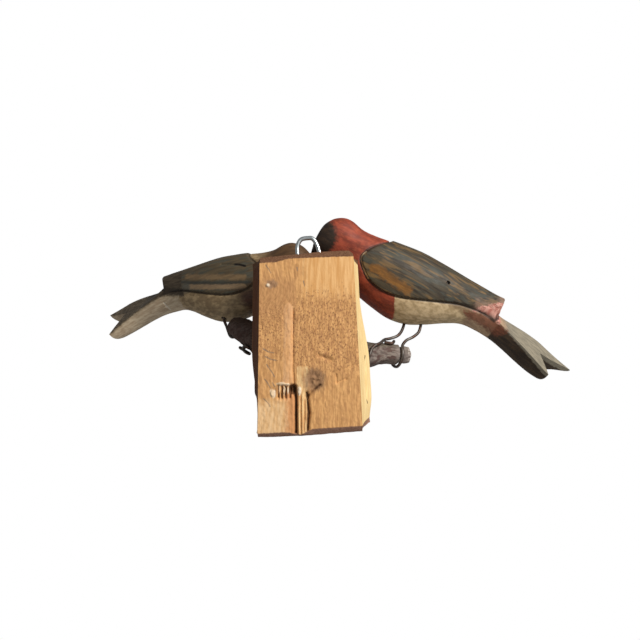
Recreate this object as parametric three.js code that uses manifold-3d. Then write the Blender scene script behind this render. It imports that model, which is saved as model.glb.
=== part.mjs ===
// Two carved and painted wooden birds on a forked branch, fixed to a sawn block that hangs on a wall.
// Millimetres, +Z up. The plane y = 0 is the block's flat back, and it faces the wall at +Y.
// +X is the olive bird's side, -X is the red bird's side, and -Y is the side seen from the room.
import * as THREE from 'three';
import { mergeVertices } from 'three/addons/utils/BufferGeometryUtils.js';
import Module from 'manifold-3d';

const wasm = await Module();
wasm.setup();

// Driving dimensions

const FIT_GAP = 0.3;
const HOLE_EASE = 0.45;

// Heights are above the origin. Each line runs from the olive bird's side to the red bird's side.
const BLOCK = {
  thickness: 30,
  oliveEdge: 37.5,
  redEdgeTop: -32,
  redEdgeBottom: -38,
  topEnd: [[37.5, 64.3], [9, 67.2], [-8, 69], [-29, 70.1], [-32, 67.5]],
  topArris: [[37.5, 59.4], [26, 60], [16, 62.8], [-32, 64.6]],
  bottomArris: [[37.5, -64.7], [18, -63.8], [6, -65.4], [-2, -61.4], [-38, -59.2], [-47, -55.4]],
  bottomEnd: [[37.5, -67.8], [9, -67], [-38, -63.5], [-45, -59.6]],
  endChamfer: 4,
  oliveFlareTop: 9,
  oliveFlareBottom: 4,
  redFlareTop: 5.5,
  redFlareBottom: 10.5,
  redFootCut: 2.6,
  frontCrown: 1.5,
  redSideHollow: 1.2,
};

// The torn split below the knot, and the drying crack in the split side.
const GOUGE = { x: 2, top: -30, bottom: -80, width: 11, depth: 4.5 };
const KNOT = { x: 12, z: -34, width: 18, height: 12, depth: 3.2 };
const CRACK = { y: -21, top: -8, bottom: -45, width: 1.6, depth: 5 };

// The staple's middle line in its own plane, from the olive bird's side to the red bird's side.
const STAPLE = {
  wire: 3.4,
  y: -14,
  line: [[8.8, 54], [9.6, 66], [10, 76], [7.4, 81], [2, 82.2], [-1, 82], [-4.2, 78.4], [-7.4, 68],
    [-10.6, 54]],
};

// Thickness of the branch is a radius at each point of its middle line.
const BRANCH = {
  stem: [
    { at: [33, -43, -44], r: 10.2 },
    { at: [33.5, -43.5, -34], r: 12 },
    { at: [32.5, -43.5, -20], r: 13.4 },
    { at: [32, -44, -6], r: 15.2 },
    { at: [31, -45, 4], r: 13 },
  ],
  oliveArm: [
    { at: [31, -44, -5], r: 13 },
    { at: [41, -48, 5], r: 12.8 },
    { at: [50, -52, 9.4], r: 11.4 },
    { at: [57, -55.5, 13.2], r: 10.4 },
    { at: [63.5, -58.5, 17], r: 8.6 },
    { at: [68.4, -60, 20], r: 6 },
  ],
  redArm: [
    { at: [28, -44, -6], r: 13.5 },
    { at: [8, -44, -5], r: 12.5 },
    { at: [-14, -45, -6], r: 11.6 },
    { at: [-36, -47, -7], r: 11.4 },
    { at: [-48, -49, -7], r: 10.4 },
    { at: [-56, -50.5, -6], r: 9 },
    { at: [-64, -52, -5.8], r: 8.7 },
    { at: [-70.5, -53.2, -6.6], r: 8.6 },
    { at: [-73, -53.8, -6.8], r: 6.5 },
    { at: [-77, -54.5, -7], r: 7.2 },
    { at: [-81.5, -55.5, -7], r: 6.6 },
  ],
  ridges: 5,
  ridgeHeight: 0.05,
  sides: 12,
};

// One carving pattern serves both birds. It is measured along the body from the crown (0, 0) to the
// tail. along: distance, back: upper line, waist: widest height, under: lower line, half: half breadth.
const BODY = [
  { name: 'face', along: -11, back: -24, waist: -24, under: -24, half: 0 },
  { name: 'lores', along: -10.6, back: -17, waist: -24, under: -31, half: 6.5 },
  { name: 'bill base', along: -9.6, back: -12.3, waist: -23, under: -34.5, half: 9.5 },
  { name: 'brow', along: -7, back: -7.4, waist: -21, under: -37.5, half: 12 },
  { name: 'forehead', along: -3.5, back: -3.3, waist: -19, under: -39.5, half: 14 },
  { name: 'crown', along: 3, back: 0.4, waist: -18, under: -41.5, half: 15.3 },
  { name: 'hind crown', along: 10, back: 1, waist: -18, under: -43.5, half: 15.8 },
  { name: 'nape', along: 21, back: -1.4, waist: -21, under: -46.5, half: 16.5 },
  { name: 'shoulder', along: 33, back: -1, waist: -25, under: -49.5, half: 18.5 },
  { name: 'breast', along: 46, back: 1, waist: -26, under: -53.2, half: 20.5 },
  { name: 'fore back', along: 60, back: 3, waist: -26, under: -55.8, half: 21.5 },
  { name: 'belly', along: 76, back: 4.6, waist: -26, under: -57.4, half: 21.8 },
  { name: 'flank', along: 92, back: 4.6, waist: -25, under: -54.3, half: 20.8 },
  { name: 'hind flank', along: 107, back: 4.3, waist: -23, under: -46.5, half: 18.5 },
  { name: 'vent', along: 121, back: 4, waist: -20, under: -37.5, half: 16 },
  { name: 'rump', along: 133, back: 1.5, waist: -17, under: -31.8, half: 13.8 },
  { name: 'tail root', along: 147, back: -5.6, waist: -13, under: -30.4, half: 12.8 },
  { name: 'tail neck', along: 162, back: -11.2, waist: -14, under: -31.4, half: 12.8 },
  { name: 'tail', along: 176, back: -15, waist: -16, under: -34.4, half: 13.4 },
  { name: 'tail middle', along: 190, back: -18.4, waist: -19.2, under: -38.4, half: 14.6 },
  { name: 'tail blade', along: 202, back: -22, waist: -22.8, under: -40.8, half: 15.8 },
  { name: 'fork', along: 212, back: -25.8, waist: -26.4, under: -40.6, half: 16.6 },
  { name: 'lobes', along: 222, back: -29, waist: -29.6, under: -37.6, half: 17 },
  { name: 'tail end', along: 240, back: -34, waist: -34.6, under: -38, half: 17 },
];

// The wing's outline from the side: front arc, then lower edge. It ends at a slanted cut, which each
// bird has at its own place.
const WING_FRONT = [[52, 12], [44.5, -3], [36.5, -13], [31.5, -22], [30.5, -28]];
const WING_LOWER = [[37.8, -36], [44.5, -40.6], [54.2, -43], [64.3, -43], [74, -41], [88, -35.6],
  [104, -28.6], [118, -22.6], [131, -17.8], [144, -13.6]];
const WING_TOP = 10;
const WING_CUT_DROP = 21;

const CARVING = {
  rings: 42,
  sides: 22,
  mantleRings: 18,
  wingProud: 1.3,
  bodyFullness: 2.15,
  tailFullness: 2.7,
  leanFrom: 118,
  leanTo: 206,
  bendFrom: 120,
  tailEnd: 240,
};

// The folded wings with the mantle between them stand proud of the body, and run on behind the vent
// over the tail root.
const MANTLE = [
  ...BODY.filter(({ along }) => along > 10 && along < 130).map((station) => ({
    ...station,
    back: station.back + CARVING.wingProud,
    under: station.under - CARVING.wingProud,
    half: station.half + CARVING.wingProud,
  })),
  { name: 'rump', along: 133, back: 5.2, waist: -15.5, under: -32, half: 15.2 },
  { name: 'primaries', along: 146, back: 5, waist: -9, under: -24, half: 13 },
  { name: 'tips', along: 164, back: 5.8, waist: -3, under: -14, half: 11 },
];

const BILL = { length: 15, base: 11, at: [-5.5, -27], drop: 80, turn: 26 };

// side is +1 where the tail points to +X. The fork runs from the lobe on the wall's side through the
// vertex to the lobe on the room's side. The lobe on the wall's side may spread wider than the other.
const RED_BIRD = {
  crown: [-25.9, -52, 110.4],
  side: -1,
  scale: 1,
  slope: 28.2,
  yaw: 4,
  bodyLean: 11,
  tailLean: 46,
  tailBend: 10,
  tailDepth: 0,
  lobeDrop: 0,
  lobeSpread: 0,
  wingDepth: 1,
  wingTip: 159,
  wingSlant: 6,
  fork: { vertex: 203, wallLobe: 213, roomLobe: 235 },
};
const OLIVE_BIRD = {
  crown: [12.1, -50, 88],
  side: 1,
  scale: 0.93,
  slope: 10,
  yaw: 22,
  bodyLean: 12,
  tailLean: 52,
  tailBend: 10,
  tailDepth: 2.6,
  lobeDrop: 4,
  lobeSpread: 4.5,
  wingDepth: 0.84,
  wingTip: 151.5,
  wingSlant: 10,
  fork: { vertex: 199, wallLobe: 214, roomLobe: 228 },
};

// A leg stands straight in its socket in the belly, from its top to where it comes out, and bends down
// through the points of its line. Then it lies round an arm: turns are [share of the arm, degrees round
// it, lift off the bark]. Its cut end may run on through more points.
const LEG = { wire: 2.5, sides: 6, steps: 32, socketSides: 10 };
const RED_FRONT_LEG = {
  socket: [[-80.6, -58.6, 28], [-79.3, -58, 20.4]],
  line: [[-77.1, -57.6, 14], [-73.6, -56.8, 9.6], [-67, -54.6, 6.9], [-61.6, -51.5, 5.7]],
  arm: 'redArm',
  turns: [[0.5, 42, 0.3], [0.4, 66, 0.3], [0.36, 110, 0.3], [0.34, 160, 0.5], [0.32, 210, 0.3],
    [0.3, 260, 0.3], [0.28, 310, 0.3]],
  end: [],
};
const RED_REAR_LEG = {
  socket: [[-94.2, -57.4, 25.4], [-92.9, -57, 17.8]],
  line: [[-91, -56.2, 12.4], [-86.4, -55, 8.4], [-79.6, -52.5, 4.9]],
  arm: 'redArm',
  turns: [[0.84, 36, 0.4], [0.82, 80, 0.4], [0.79, 125, 1], [0.75, 170, 0.8], [0.72, 220, 0.2],
    [0.69, 270, 0], [0.67, 320, 0], [0.65, 365, 0], [0.61, 400, 0.2]],
  end: [[-61.2, -45.6, 3]],
};
const OLIVE_FRONT_LEG = {
  socket: [[59.8, -72.5, 33], [60.4, -72.6, 25.4]],
  line: [[60, -72.2, 20]],
  arm: 'oliveArm',
  turns: [[0.6, 262, 1.6], [0.54, 300, 0.6], [0.48, 340, 0.5], [0.45, 372, 0.6]],
  end: [[50.6, -45.4, -6.3], [53, -43.6, -5.4], [55.4, -43, -2.6], [54.2, -42.2, -0.1], [50.8, -41.4, -1.8]],
};
const OLIVE_REAR_LEG = {
  socket: [[78, -70.5, 31], [76.8, -69.4, 23.6]],
  line: [[74.2, -66.8, 18.4]],
  arm: 'oliveArm',
  turns: [[0.84, 340, 0.3], [0.79, 300, 0.3], [0.75, 258, 0.3]],
  end: [],
};

// Named finishes

function paint(color, roughness, metalness = 0) {
  return new THREE.MeshStandardMaterial({ color, roughness, metalness });
}

const FINISH = {
  pine: paint('#d9a86c', 0.85),
  bark: paint('#6a6058', 0.9),
  redPaint: paint('#9c4a38', 0.7),
  olivePaint: paint('#5a4d38', 0.7),
  zinc: paint('#c4ccce', 0.35, 0.9),
  ironWire: paint('#3a322c', 0.6, 0.8),
};

// Solids

function solidFrom(geometry) {
  const bare = geometry.clone();
  bare.deleteAttribute('normal');
  bare.deleteAttribute('uv');
  const welded = mergeVertices(bare, 1e-4);
  return new wasm.Manifold(new wasm.Mesh({
    numProp: 3,
    vertProperties: new Float32Array(welded.attributes.position.array),
    triVerts: new Uint32Array(welded.index.array),
  }));
}

function geometryFrom(solid) {
  const mesh = solid.getMesh();
  const geometry = new THREE.BufferGeometry();
  geometry.setAttribute('position', new THREE.BufferAttribute(new Float32Array(mesh.vertProperties), 3));
  geometry.setIndex(new THREE.BufferAttribute(new Uint32Array(mesh.triVerts), 1));
  geometry.computeVertexNormals();
  return geometry;
}

// Six times the volume inside a closed skin, negative where its faces point inwards.
function signedVolume(points, index) {
  let volume = 0;
  for (let k = 0; k < index.length; k += 3) {
    const [a, b, c] = [points[index[k]], points[index[k + 1]], points[index[k + 2]]];
    volume += a.dot(b.clone().cross(c));
  }
  return volume;
}

// A closed skin over rings of equal count, whichever way they run round. Each end closes on the
// middle of its ring.
function loft(rings) {
  const count = rings[0].length;
  const points = rings.flat();
  const index = [];
  for (let row = 0; row + 1 < rings.length; row += 1) {
    for (let col = 0; col < count; col += 1) {
      const next = (col + 1) % count;
      const a = row * count + col;
      const b = row * count + next;
      index.push(a, b, a + count, b, b + count, a + count);
    }
  }
  const last = (rings.length - 1) * count;
  const middle = (ring) => ring.reduce((sum, p) => sum.add(p), new THREE.Vector3()).divideScalar(count);
  points.push(middle(rings[0]), middle(rings.at(-1)));
  for (let col = 0; col < count; col += 1) {
    const next = (col + 1) % count;
    index.push(points.length - 2, next, col);
    index.push(points.length - 1, last + col, last + next);
  }
  if (signedVolume(points, index) < 0) index.reverse();
  const geometry = new THREE.BufferGeometry().setFromPoints(points);
  geometry.setIndex(index);
  return geometry;
}

function wireAlong(curve, wire, steps, sides = 8) {
  const section = new THREE.Shape();
  for (let k = 0; k < sides; k += 1) {
    const turn = (2 * Math.PI * k) / sides;
    const x = (wire / 2) * Math.cos(turn);
    const y = (wire / 2) * Math.sin(turn);
    if (k === 0) section.moveTo(x, y);
    else section.lineTo(x, y);
  }
  section.closePath();
  return new THREE.ExtrudeGeometry(section, { steps, extrudePath: curve, bevelEnabled: false });
}

// Height of a broken line of [place, height] points at one place.
function alongLine(line, place) {
  const falling = line[0][0] > line.at(-1)[0];
  const points = falling ? [...line].reverse() : line;
  if (place <= points[0][0]) return points[0][1];
  for (let k = 1; k < points.length; k += 1) {
    const [x0, z0] = points[k - 1];
    const [x1, z1] = points[k];
    if (place <= x1) return z0 + ((z1 - z0) * (place - x0)) / (x1 - x0);
  }
  return points.at(-1)[1];
}

function smooth(from, to, value) {
  return THREE.MathUtils.smoothstep(value, from, to);
}

// Back block

function blockColumns() {
  const columns = [];
  const across = 9;
  const deep = 4;
  for (let k = 0; k <= across; k += 1) columns.push({ u: k / across, depth: 0 });
  for (let k = 1; k < deep; k += 1) columns.push({ u: 1, depth: k / deep });
  for (let k = across; k >= 0; k -= 1) columns.push({ u: k / across, depth: 1 });
  for (let k = deep - 1; k > 0; k -= 1) columns.push({ u: 0, depth: k / deep });
  return columns;
}

function blockPoint({ u, depth }, rise, inset) {
  const { lerp } = THREE.MathUtils;
  const redEdge = lerp(BLOCK.redEdgeBottom, BLOCK.redEdgeTop, rise);
  const oliveFlare = lerp(BLOCK.oliveFlareBottom, BLOCK.oliveFlareTop, smooth(0.1, 0.5, rise));
  const redFlare = lerp(BLOCK.redFlareBottom, BLOCK.redFlareTop, smooth(0.35, 0.8, rise))
    - BLOCK.redFootCut * (1 - smooth(0, 0.16, rise));
  const hollow = BLOCK.redSideHollow * Math.sin(Math.PI * depth) * u;
  const olive = BLOCK.oliveEdge + oliveFlare * depth - inset * 0.4 * Math.sin(Math.PI * depth);
  const red = redEdge - redFlare * depth + hollow + inset * 0.4 * Math.sin(Math.PI * depth);
  const x = lerp(olive, red, u);
  const crown = BLOCK.frontCrown * Math.sin(Math.PI * u) * depth;
  const y = lerp(-inset, -BLOCK.thickness - crown + inset, depth);
  return { x, y };
}

function blockRing(rise, line, inset) {
  return blockColumns().map((column) => {
    const { x, y } = blockPoint(column, rise, inset);
    return new THREE.Vector3(x, y, line(x));
  });
}

function makeBlock() {
  const lowArris = (x) => alongLine(BLOCK.bottomArris, x);
  const highArris = (x) => alongLine(BLOCK.topArris, x);
  const rings = [
    blockRing(0, (x) => alongLine(BLOCK.bottomEnd, x), BLOCK.endChamfer),
    blockRing(0.03, lowArris, 0),
  ];
  const courses = 8;
  for (let k = 1; k < courses; k += 1) {
    const rise = k / courses;
    rings.push(blockRing(rise, (x) => THREE.MathUtils.lerp(lowArris(x), highArris(x), rise), 0));
  }
  rings.push(blockRing(0.97, highArris, 0));
  rings.push(blockRing(1, (x) => alongLine(BLOCK.topEnd, x), BLOCK.endChamfer));
  return solidFrom(loft(rings));
}

// A torn hollow: an ellipsoid sunk into the back, with the given breadth, height and depth.
function hollowIn(x, z, width, height, depth) {
  const ball = new THREE.SphereGeometry(1, 14, 8);
  ball.scale(width / 2, depth, height / 2);
  ball.translate(x, 0, z);
  return solidFrom(ball);
}

// A wedge-shaped split that starts as a point at its top and widens to the bottom end.
function splitBelowKnot() {
  const rings = [0, 0.35, 0.7, 1].map((t) => {
    const half = (GOUGE.width / 2) * (0.25 + 0.75 * t);
    const depth = GOUGE.depth * (0.4 + 0.6 * t);
    const z = THREE.MathUtils.lerp(GOUGE.top, GOUGE.bottom, t);
    return [[-half, 2], [-half * 0.8, -depth * 0.6], [-half * 0.1, -depth], [half * 0.3, -depth * 0.5],
      [half * 0.7, -depth * 0.9], [half, 2]].map(([dx, y]) => new THREE.Vector3(GOUGE.x + dx, y, z));
  });
  return solidFrom(loft(rings));
}

function sideCrack() {
  const middle = (CRACK.top + CRACK.bottom) / 2;
  const reach = (CRACK.top - CRACK.bottom) / 2;
  const blade = new THREE.CylinderGeometry(1, 1, CRACK.width, 16);
  blade.scale(CRACK.depth * 2.2, 1, reach);
  blade.translate(-48, CRACK.y, middle);
  return solidFrom(blade);
}

// Staple

// Its feet can go deeper by a clearance, for the holes.
function stapleCurve(clearance) {
  const feet = [0, STAPLE.line.length - 1];
  return new THREE.CatmullRomCurve3(STAPLE.line.map(([x, z], k) => (
    new THREE.Vector3(x, STAPLE.y, feet.includes(k) ? z - clearance : z)
  )));
}

// Branch

function armCurve(arm) {
  return new THREE.CatmullRomCurve3(arm.map(({ at }) => new THREE.Vector3(...at)));
}

// Radius of an arm at a share of its points, smoothed between them.
function armRadius(arm, share) {
  const place = share * (arm.length - 1);
  const low = Math.min(Math.floor(place), arm.length - 2);
  return THREE.MathUtils.lerp(arm[low].r, arm[low + 1].r, smooth(0, 1, place - low));
}

// A point round an arm, at a distance from its middle line. Turn 90 degrees is the wall's side.
function roundArm(curve, share, turn, distance) {
  const ahead = curve.getTangent(share);
  const across = new THREE.Vector3(0, 1, 0).cross(ahead).normalize();
  const up = ahead.clone().cross(across);
  return curve.getPoint(share)
    .addScaledVector(across, distance * Math.cos(turn))
    .addScaledVector(up, distance * Math.sin(turn));
}

function makeArm(arm, stepsPerPoint) {
  const curve = armCurve(arm);
  const steps = (arm.length - 1) * stepsPerPoint;
  const rings = [];
  for (let k = 0; k <= steps; k += 1) {
    const share = k / steps;
    const radius = armRadius(arm, share);
    const ring = [];
    for (let side = 0; side < BRANCH.sides; side += 1) {
      const turn = (2 * Math.PI * side) / BRANCH.sides;
      const knobbly = 1 + BRANCH.ridgeHeight * Math.sin(BRANCH.ridges * turn + 7 * share);
      ring.push(roundArm(curve, share, turn, radius * knobbly));
    }
    rings.push(ring);
  }
  return solidFrom(loft(rings));
}

function makeBranch() {
  const joined = makeArm(BRANCH.stem, 2).add(makeArm(BRANCH.oliveArm, 2)).add(makeArm(BRANCH.redArm, 2));
  const seat = new THREE.BoxGeometry(200, 60, 200);
  seat.translate(0, 30 - BLOCK.thickness - BLOCK.frontCrown - FIT_GAP, 0);
  return joined.subtract(solidFrom(seat));
}

// Birds

// Catmull-Rom value of one measure at a place along the body.
function measure(stations, field, along) {
  const last = stations.length - 1;
  let k = stations.findIndex((station) => station.along > along) - 1;
  if (k < 0) k = along <= stations[0].along ? 0 : last - 1;
  const [a, b] = [stations[k], stations[k + 1]];
  const before = stations[Math.max(k - 1, 0)];
  const after = stations[Math.min(k + 2, last)];
  const span = b.along - a.along;
  const slopeA = ((b[field] - before[field]) / (b.along - before.along)) * span;
  const slopeB = ((after[field] - a[field]) / (after.along - a.along)) * span;
  const t = (along - a.along) / span;
  const t2 = t * t;
  const t3 = t2 * t;
  return (2 * t3 - 3 * t2 + 1) * a[field] + (t3 - 2 * t2 + t) * slopeA
    + (3 * t2 - 2 * t3) * b[field] + (t3 - t2) * slopeB;
}

function leanAt(bird, along) {
  const share = smooth(CARVING.leanFrom, CARVING.leanTo, along);
  return THREE.MathUtils.degToRad(THREE.MathUtils.lerp(bird.bodyLean, bird.tailLean, share));
}

// Where a point of the straight pattern goes: the back leans to the wall, and the tail bends to it.
function posed(bird, along, across, height, waist) {
  const lean = leanAt(bird, along);
  const rise = height - waist;
  const side = across * Math.cos(lean) + rise * Math.sin(lean);
  const up = waist - across * Math.sin(lean) + rise * Math.cos(lean);
  const reach = CARVING.tailEnd - CARVING.bendFrom;
  const bend = THREE.MathUtils.degToRad(bird.tailBend) * Math.max(0, (along - CARVING.bendFrom) / reach);
  const radius = reach / THREE.MathUtils.degToRad(bird.tailBend);
  const past = Math.max(0, along - CARVING.bendFrom);
  const middleX = along - past + radius * Math.sin(bend);
  const middleY = radius * (1 - Math.cos(bend));
  return new THREE.Vector3(
    middleX - side * Math.sin(bend),
    bird.side * (middleY + side * Math.cos(bend)),
    up,
  );
}

// A ring of the superellipse section at one place, widest at the waist.
function bodyRing(bird, stations, along, sides) {
  const [back, waist, lower, half] = ['back', 'waist', 'under', 'half']
    .map((field) => measure(stations, field, along));
  const under = lower - bird.tailDepth * smooth(115, 145, along) - bird.lobeDrop * smooth(200, 235, along);
  const fullness = THREE.MathUtils.lerp(CARVING.bodyFullness, CARVING.tailFullness, smooth(125, 175, along));
  const ring = [];
  for (let side = 0; side < sides; side += 1) {
    const turn = (2 * Math.PI * side) / sides;
    const [c, s] = [Math.cos(turn), Math.sin(turn)];
    const breadth = half + (c > 0 ? bird.lobeSpread * smooth(185, 214, along) : 0);
    const across = breadth * Math.sign(c) * Math.abs(c) ** (2 / fullness);
    const reach = s > 0 ? back - waist : waist - under;
    const height = waist + reach * Math.sign(s) * Math.abs(s) ** (2 / fullness);
    ring.push(posed(bird, along, across, height, waist));
  }
  return ring;
}

// Places of the rings: crowded at the round of the face, even along the rest.
function ringPlaces(from, to, count, crowded) {
  const places = [];
  for (let k = 0; k <= count; k += 1) {
    const share = k / count;
    const eased = crowded ? share ** 1.6 : share;
    places.push(from + (to - from) * eased);
  }
  return places;
}

function carve(bird, stations, count, crowded) {
  const from = stations[0].along + (crowded ? 0.15 : 0);
  const places = ringPlaces(from, stations.at(-1).along, count, crowded);
  return solidFrom(loft(places.map((along) => bodyRing(bird, stations, along, CARVING.sides))));
}

// A prism across the whole bird from an outline seen from the side.
function sidePrism(outline, halfDepth) {
  const shape = new THREE.Shape(outline.map(([x, z]) => new THREE.Vector2(x, z)));
  const prism = new THREE.ExtrudeGeometry(shape, { depth: 2 * halfDepth, bevelEnabled: false });
  prism.translate(0, 0, -halfDepth);
  prism.rotateX(Math.PI / 2);
  return solidFrom(prism);
}

function makeWings(bird) {
  const lower = WING_LOWER.map(([x, z]) => [x, z * bird.wingDepth]);
  const cut = [[bird.wingTip - bird.wingSlant, WING_TOP - WING_CUT_DROP], [bird.wingTip, WING_TOP]];
  const outline = [...WING_FRONT, ...lower, ...cut];
  return carve(bird, MANTLE, CARVING.mantleRings, false).intersect(sidePrism(outline, 60));
}

// The notch between the two tail lobes, cut square to the tail's upper face.
function forkCut(bird) {
  const { vertex, wallLobe, roomLobe } = bird.fork;
  const { tailEnd } = CARVING;
  const edge = BODY.at(-1).half;
  const clear = 40;
  const plan = [[vertex, 0], [wallLobe, edge + bird.lobeSpread], [wallLobe, clear], [tailEnd + clear, clear],
    [tailEnd + clear, -clear], [roomLobe, -clear], [roomLobe, -edge]];
  const rings = [-clear, clear].map((rise) => plan.map(([along, across]) => {
    const onTail = Math.min(along, tailEnd);
    const waist = measure(BODY, 'waist', onTail);
    const lifted = posed(bird, onTail, across, waist + rise, waist);
    lifted.x += along - onTail;
    return lifted;
  }));
  return solidFrom(loft(rings));
}

function makeBill(bird) {
  const bill = new THREE.ConeGeometry(BILL.base / 2, BILL.length, 12);
  bill.translate(0, BILL.length / 2, 0);
  bill.rotateZ(THREE.MathUtils.degToRad(90));
  bill.rotateY(THREE.MathUtils.degToRad(-BILL.drop));
  bill.rotateX(THREE.MathUtils.degToRad(-bird.side * BILL.turn));
  bill.translate(BILL.at[0], 0, BILL.at[1]);
  return solidFrom(bill);
}

function birdFrame(bird) {
  const slope = THREE.MathUtils.degToRad(bird.slope);
  const yaw = THREE.MathUtils.degToRad(bird.yaw);
  const level = new THREE.Vector3(bird.side * Math.cos(yaw), -Math.sin(yaw), 0);
  const up = new THREE.Vector3(0, 0, 1);
  const ahead = level.clone().multiplyScalar(Math.cos(slope)).addScaledVector(up, -Math.sin(slope));
  const above = level.clone().multiplyScalar(Math.sin(slope)).addScaledVector(up, Math.cos(slope));
  const beside = above.clone().cross(ahead);
  return new THREE.Matrix4().makeBasis(ahead, beside, above)
    .scale(new THREE.Vector3(bird.scale, bird.scale, bird.scale))
    .setPosition(...bird.crown);
}

function makeBird(bird, legs) {
  const body = carve(bird, BODY, CARVING.rings, true);
  const carved = body.add(makeWings(bird)).subtract(forkCut(bird)).add(makeBill(bird));
  const geometry = geometryFrom(carved);
  geometry.applyMatrix4(birdFrame(bird));
  return legs.reduce((solid, leg) => solid.subtract(legSocket(leg)), solidFrom(geometry));
}

// Legs

function legCurve(leg) {
  const arm = BRANCH[leg.arm];
  const curve = armCurve(arm);
  const round = leg.turns.map(([share, degrees, lift]) => {
    const bark = armRadius(arm, share) * (1 + BRANCH.ridgeHeight);
    const distance = bark + FIT_GAP + LEG.wire / 2 + lift;
    return roundArm(curve, share, THREE.MathUtils.degToRad(degrees), distance);
  });
  const free = (line) => line.map((at) => new THREE.Vector3(...at));
  const [top, exit] = free(leg.socket);
  const middle = top.clone().lerp(exit, 0.5);
  return new THREE.CatmullRomCurve3([top, middle, exit, ...free(leg.line), ...round, ...free(leg.end)]);
}

function legSocket(leg) {
  const [top, exit] = leg.socket.map((at) => new THREE.Vector3(...at));
  const down = exit.clone().sub(top).normalize();
  const bore = new THREE.LineCurve3(top.addScaledVector(down, -FIT_GAP), exit.addScaledVector(down, 6));
  return solidFrom(wireAlong(bore, LEG.wire + 2 * HOLE_EASE, 1, LEG.socketSides));
}

function makeLeg(leg) {
  return solidFrom(wireAlong(legCurve(leg), LEG.wire, LEG.steps, LEG.sides));
}

// Scene graph

function named(name, solid, material) {
  const mesh = new THREE.Mesh(geometryFrom(solid), material);
  mesh.name = name;
  return mesh;
}

const hanging = new THREE.Group();

const stapleHole = wireAlong(stapleCurve(HOLE_EASE), STAPLE.wire + 2 * HOLE_EASE, 32);
const block = makeBlock()
  .subtract(hollowIn(KNOT.x, KNOT.z, KNOT.width, KNOT.height, KNOT.depth))
  .subtract(splitBelowKnot())
  .subtract(sideCrack())
  .subtract(solidFrom(stapleHole));
const redBird = makeBird(RED_BIRD, [RED_FRONT_LEG, RED_REAR_LEG]);
const oliveBird = makeBird(OLIVE_BIRD, [OLIVE_FRONT_LEG, OLIVE_REAR_LEG]);

hanging.add(named('back_block', block, FINISH.pine));
hanging.add(named('branch', makeBranch(), FINISH.bark));
hanging.add(named('red_bird', redBird, FINISH.redPaint));
hanging.add(named('olive_bird', oliveBird, FINISH.olivePaint));
hanging.add(named('hanging_staple', solidFrom(wireAlong(stapleCurve(0), STAPLE.wire, 32)), FINISH.zinc));
hanging.add(named('red_bird_front_leg', makeLeg(RED_FRONT_LEG), FINISH.ironWire));
hanging.add(named('red_bird_rear_leg', makeLeg(RED_REAR_LEG), FINISH.ironWire));
hanging.add(named('olive_bird_front_leg', makeLeg(OLIVE_FRONT_LEG), FINISH.ironWire));
hanging.add(named('olive_bird_rear_leg', makeLeg(OLIVE_REAR_LEG), FINISH.ironWire));

export default hanging;
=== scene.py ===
"""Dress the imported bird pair: two carved, painted birds on a forked branch, on a sawn block that hangs.

Lengths are millimetres until a mesh is made. +Z is up, +Y faces the wall, and the camera stands there.
"""

import logging
import math
from dataclasses import dataclass
from enum import Enum

import bpy
import numpy as np
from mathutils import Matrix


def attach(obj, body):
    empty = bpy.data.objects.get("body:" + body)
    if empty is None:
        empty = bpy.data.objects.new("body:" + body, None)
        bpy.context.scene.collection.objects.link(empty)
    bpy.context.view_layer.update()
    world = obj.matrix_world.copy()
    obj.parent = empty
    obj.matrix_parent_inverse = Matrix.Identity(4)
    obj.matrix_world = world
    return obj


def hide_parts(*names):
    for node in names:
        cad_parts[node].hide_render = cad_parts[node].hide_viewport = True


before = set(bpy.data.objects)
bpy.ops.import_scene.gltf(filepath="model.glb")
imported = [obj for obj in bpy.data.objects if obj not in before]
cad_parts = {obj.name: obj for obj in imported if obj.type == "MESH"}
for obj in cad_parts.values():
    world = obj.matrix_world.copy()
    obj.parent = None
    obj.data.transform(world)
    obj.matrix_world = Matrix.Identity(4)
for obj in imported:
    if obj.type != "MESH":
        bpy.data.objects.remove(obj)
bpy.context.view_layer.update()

LOG = logging.getLogger("bird_pair")
MM = 0.001
BODY_NAME = "root"

Array = np.ndarray
Line = tuple[tuple[float, float], ...]


# Whole-array mathematics


def smooth(low: float | Array, high: float | Array, value: Array) -> Array:
    """Ease from 0 at low to 1 at high: t squared times (3 - 2t), with t the clipped share.

    Args:
        low: value that gives 0.
        high: value that gives 1.
        value: the values to ease.

    Returns:
        Shares between 0 and 1.
    """
    share = np.clip((value - low) / (high - low), 0.0, 1.0)
    return share * share * (3.0 - 2.0 * share)


def mix(start: Array | float, end: Array | float, share: Array | float) -> Array:
    """Go straight from start to end by a share."""
    return start + (end - start) * share


def bell(distance: Array, width: float) -> Array:
    """A bump of height 1: e to the minus (distance over width) squared."""
    return np.exp(-((distance / width) ** 2))


def signed_power(value: Array, power: float) -> Array:
    """Raise the size of a value to a power and keep its sign."""
    return np.sign(value) * np.abs(value) ** power


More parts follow.
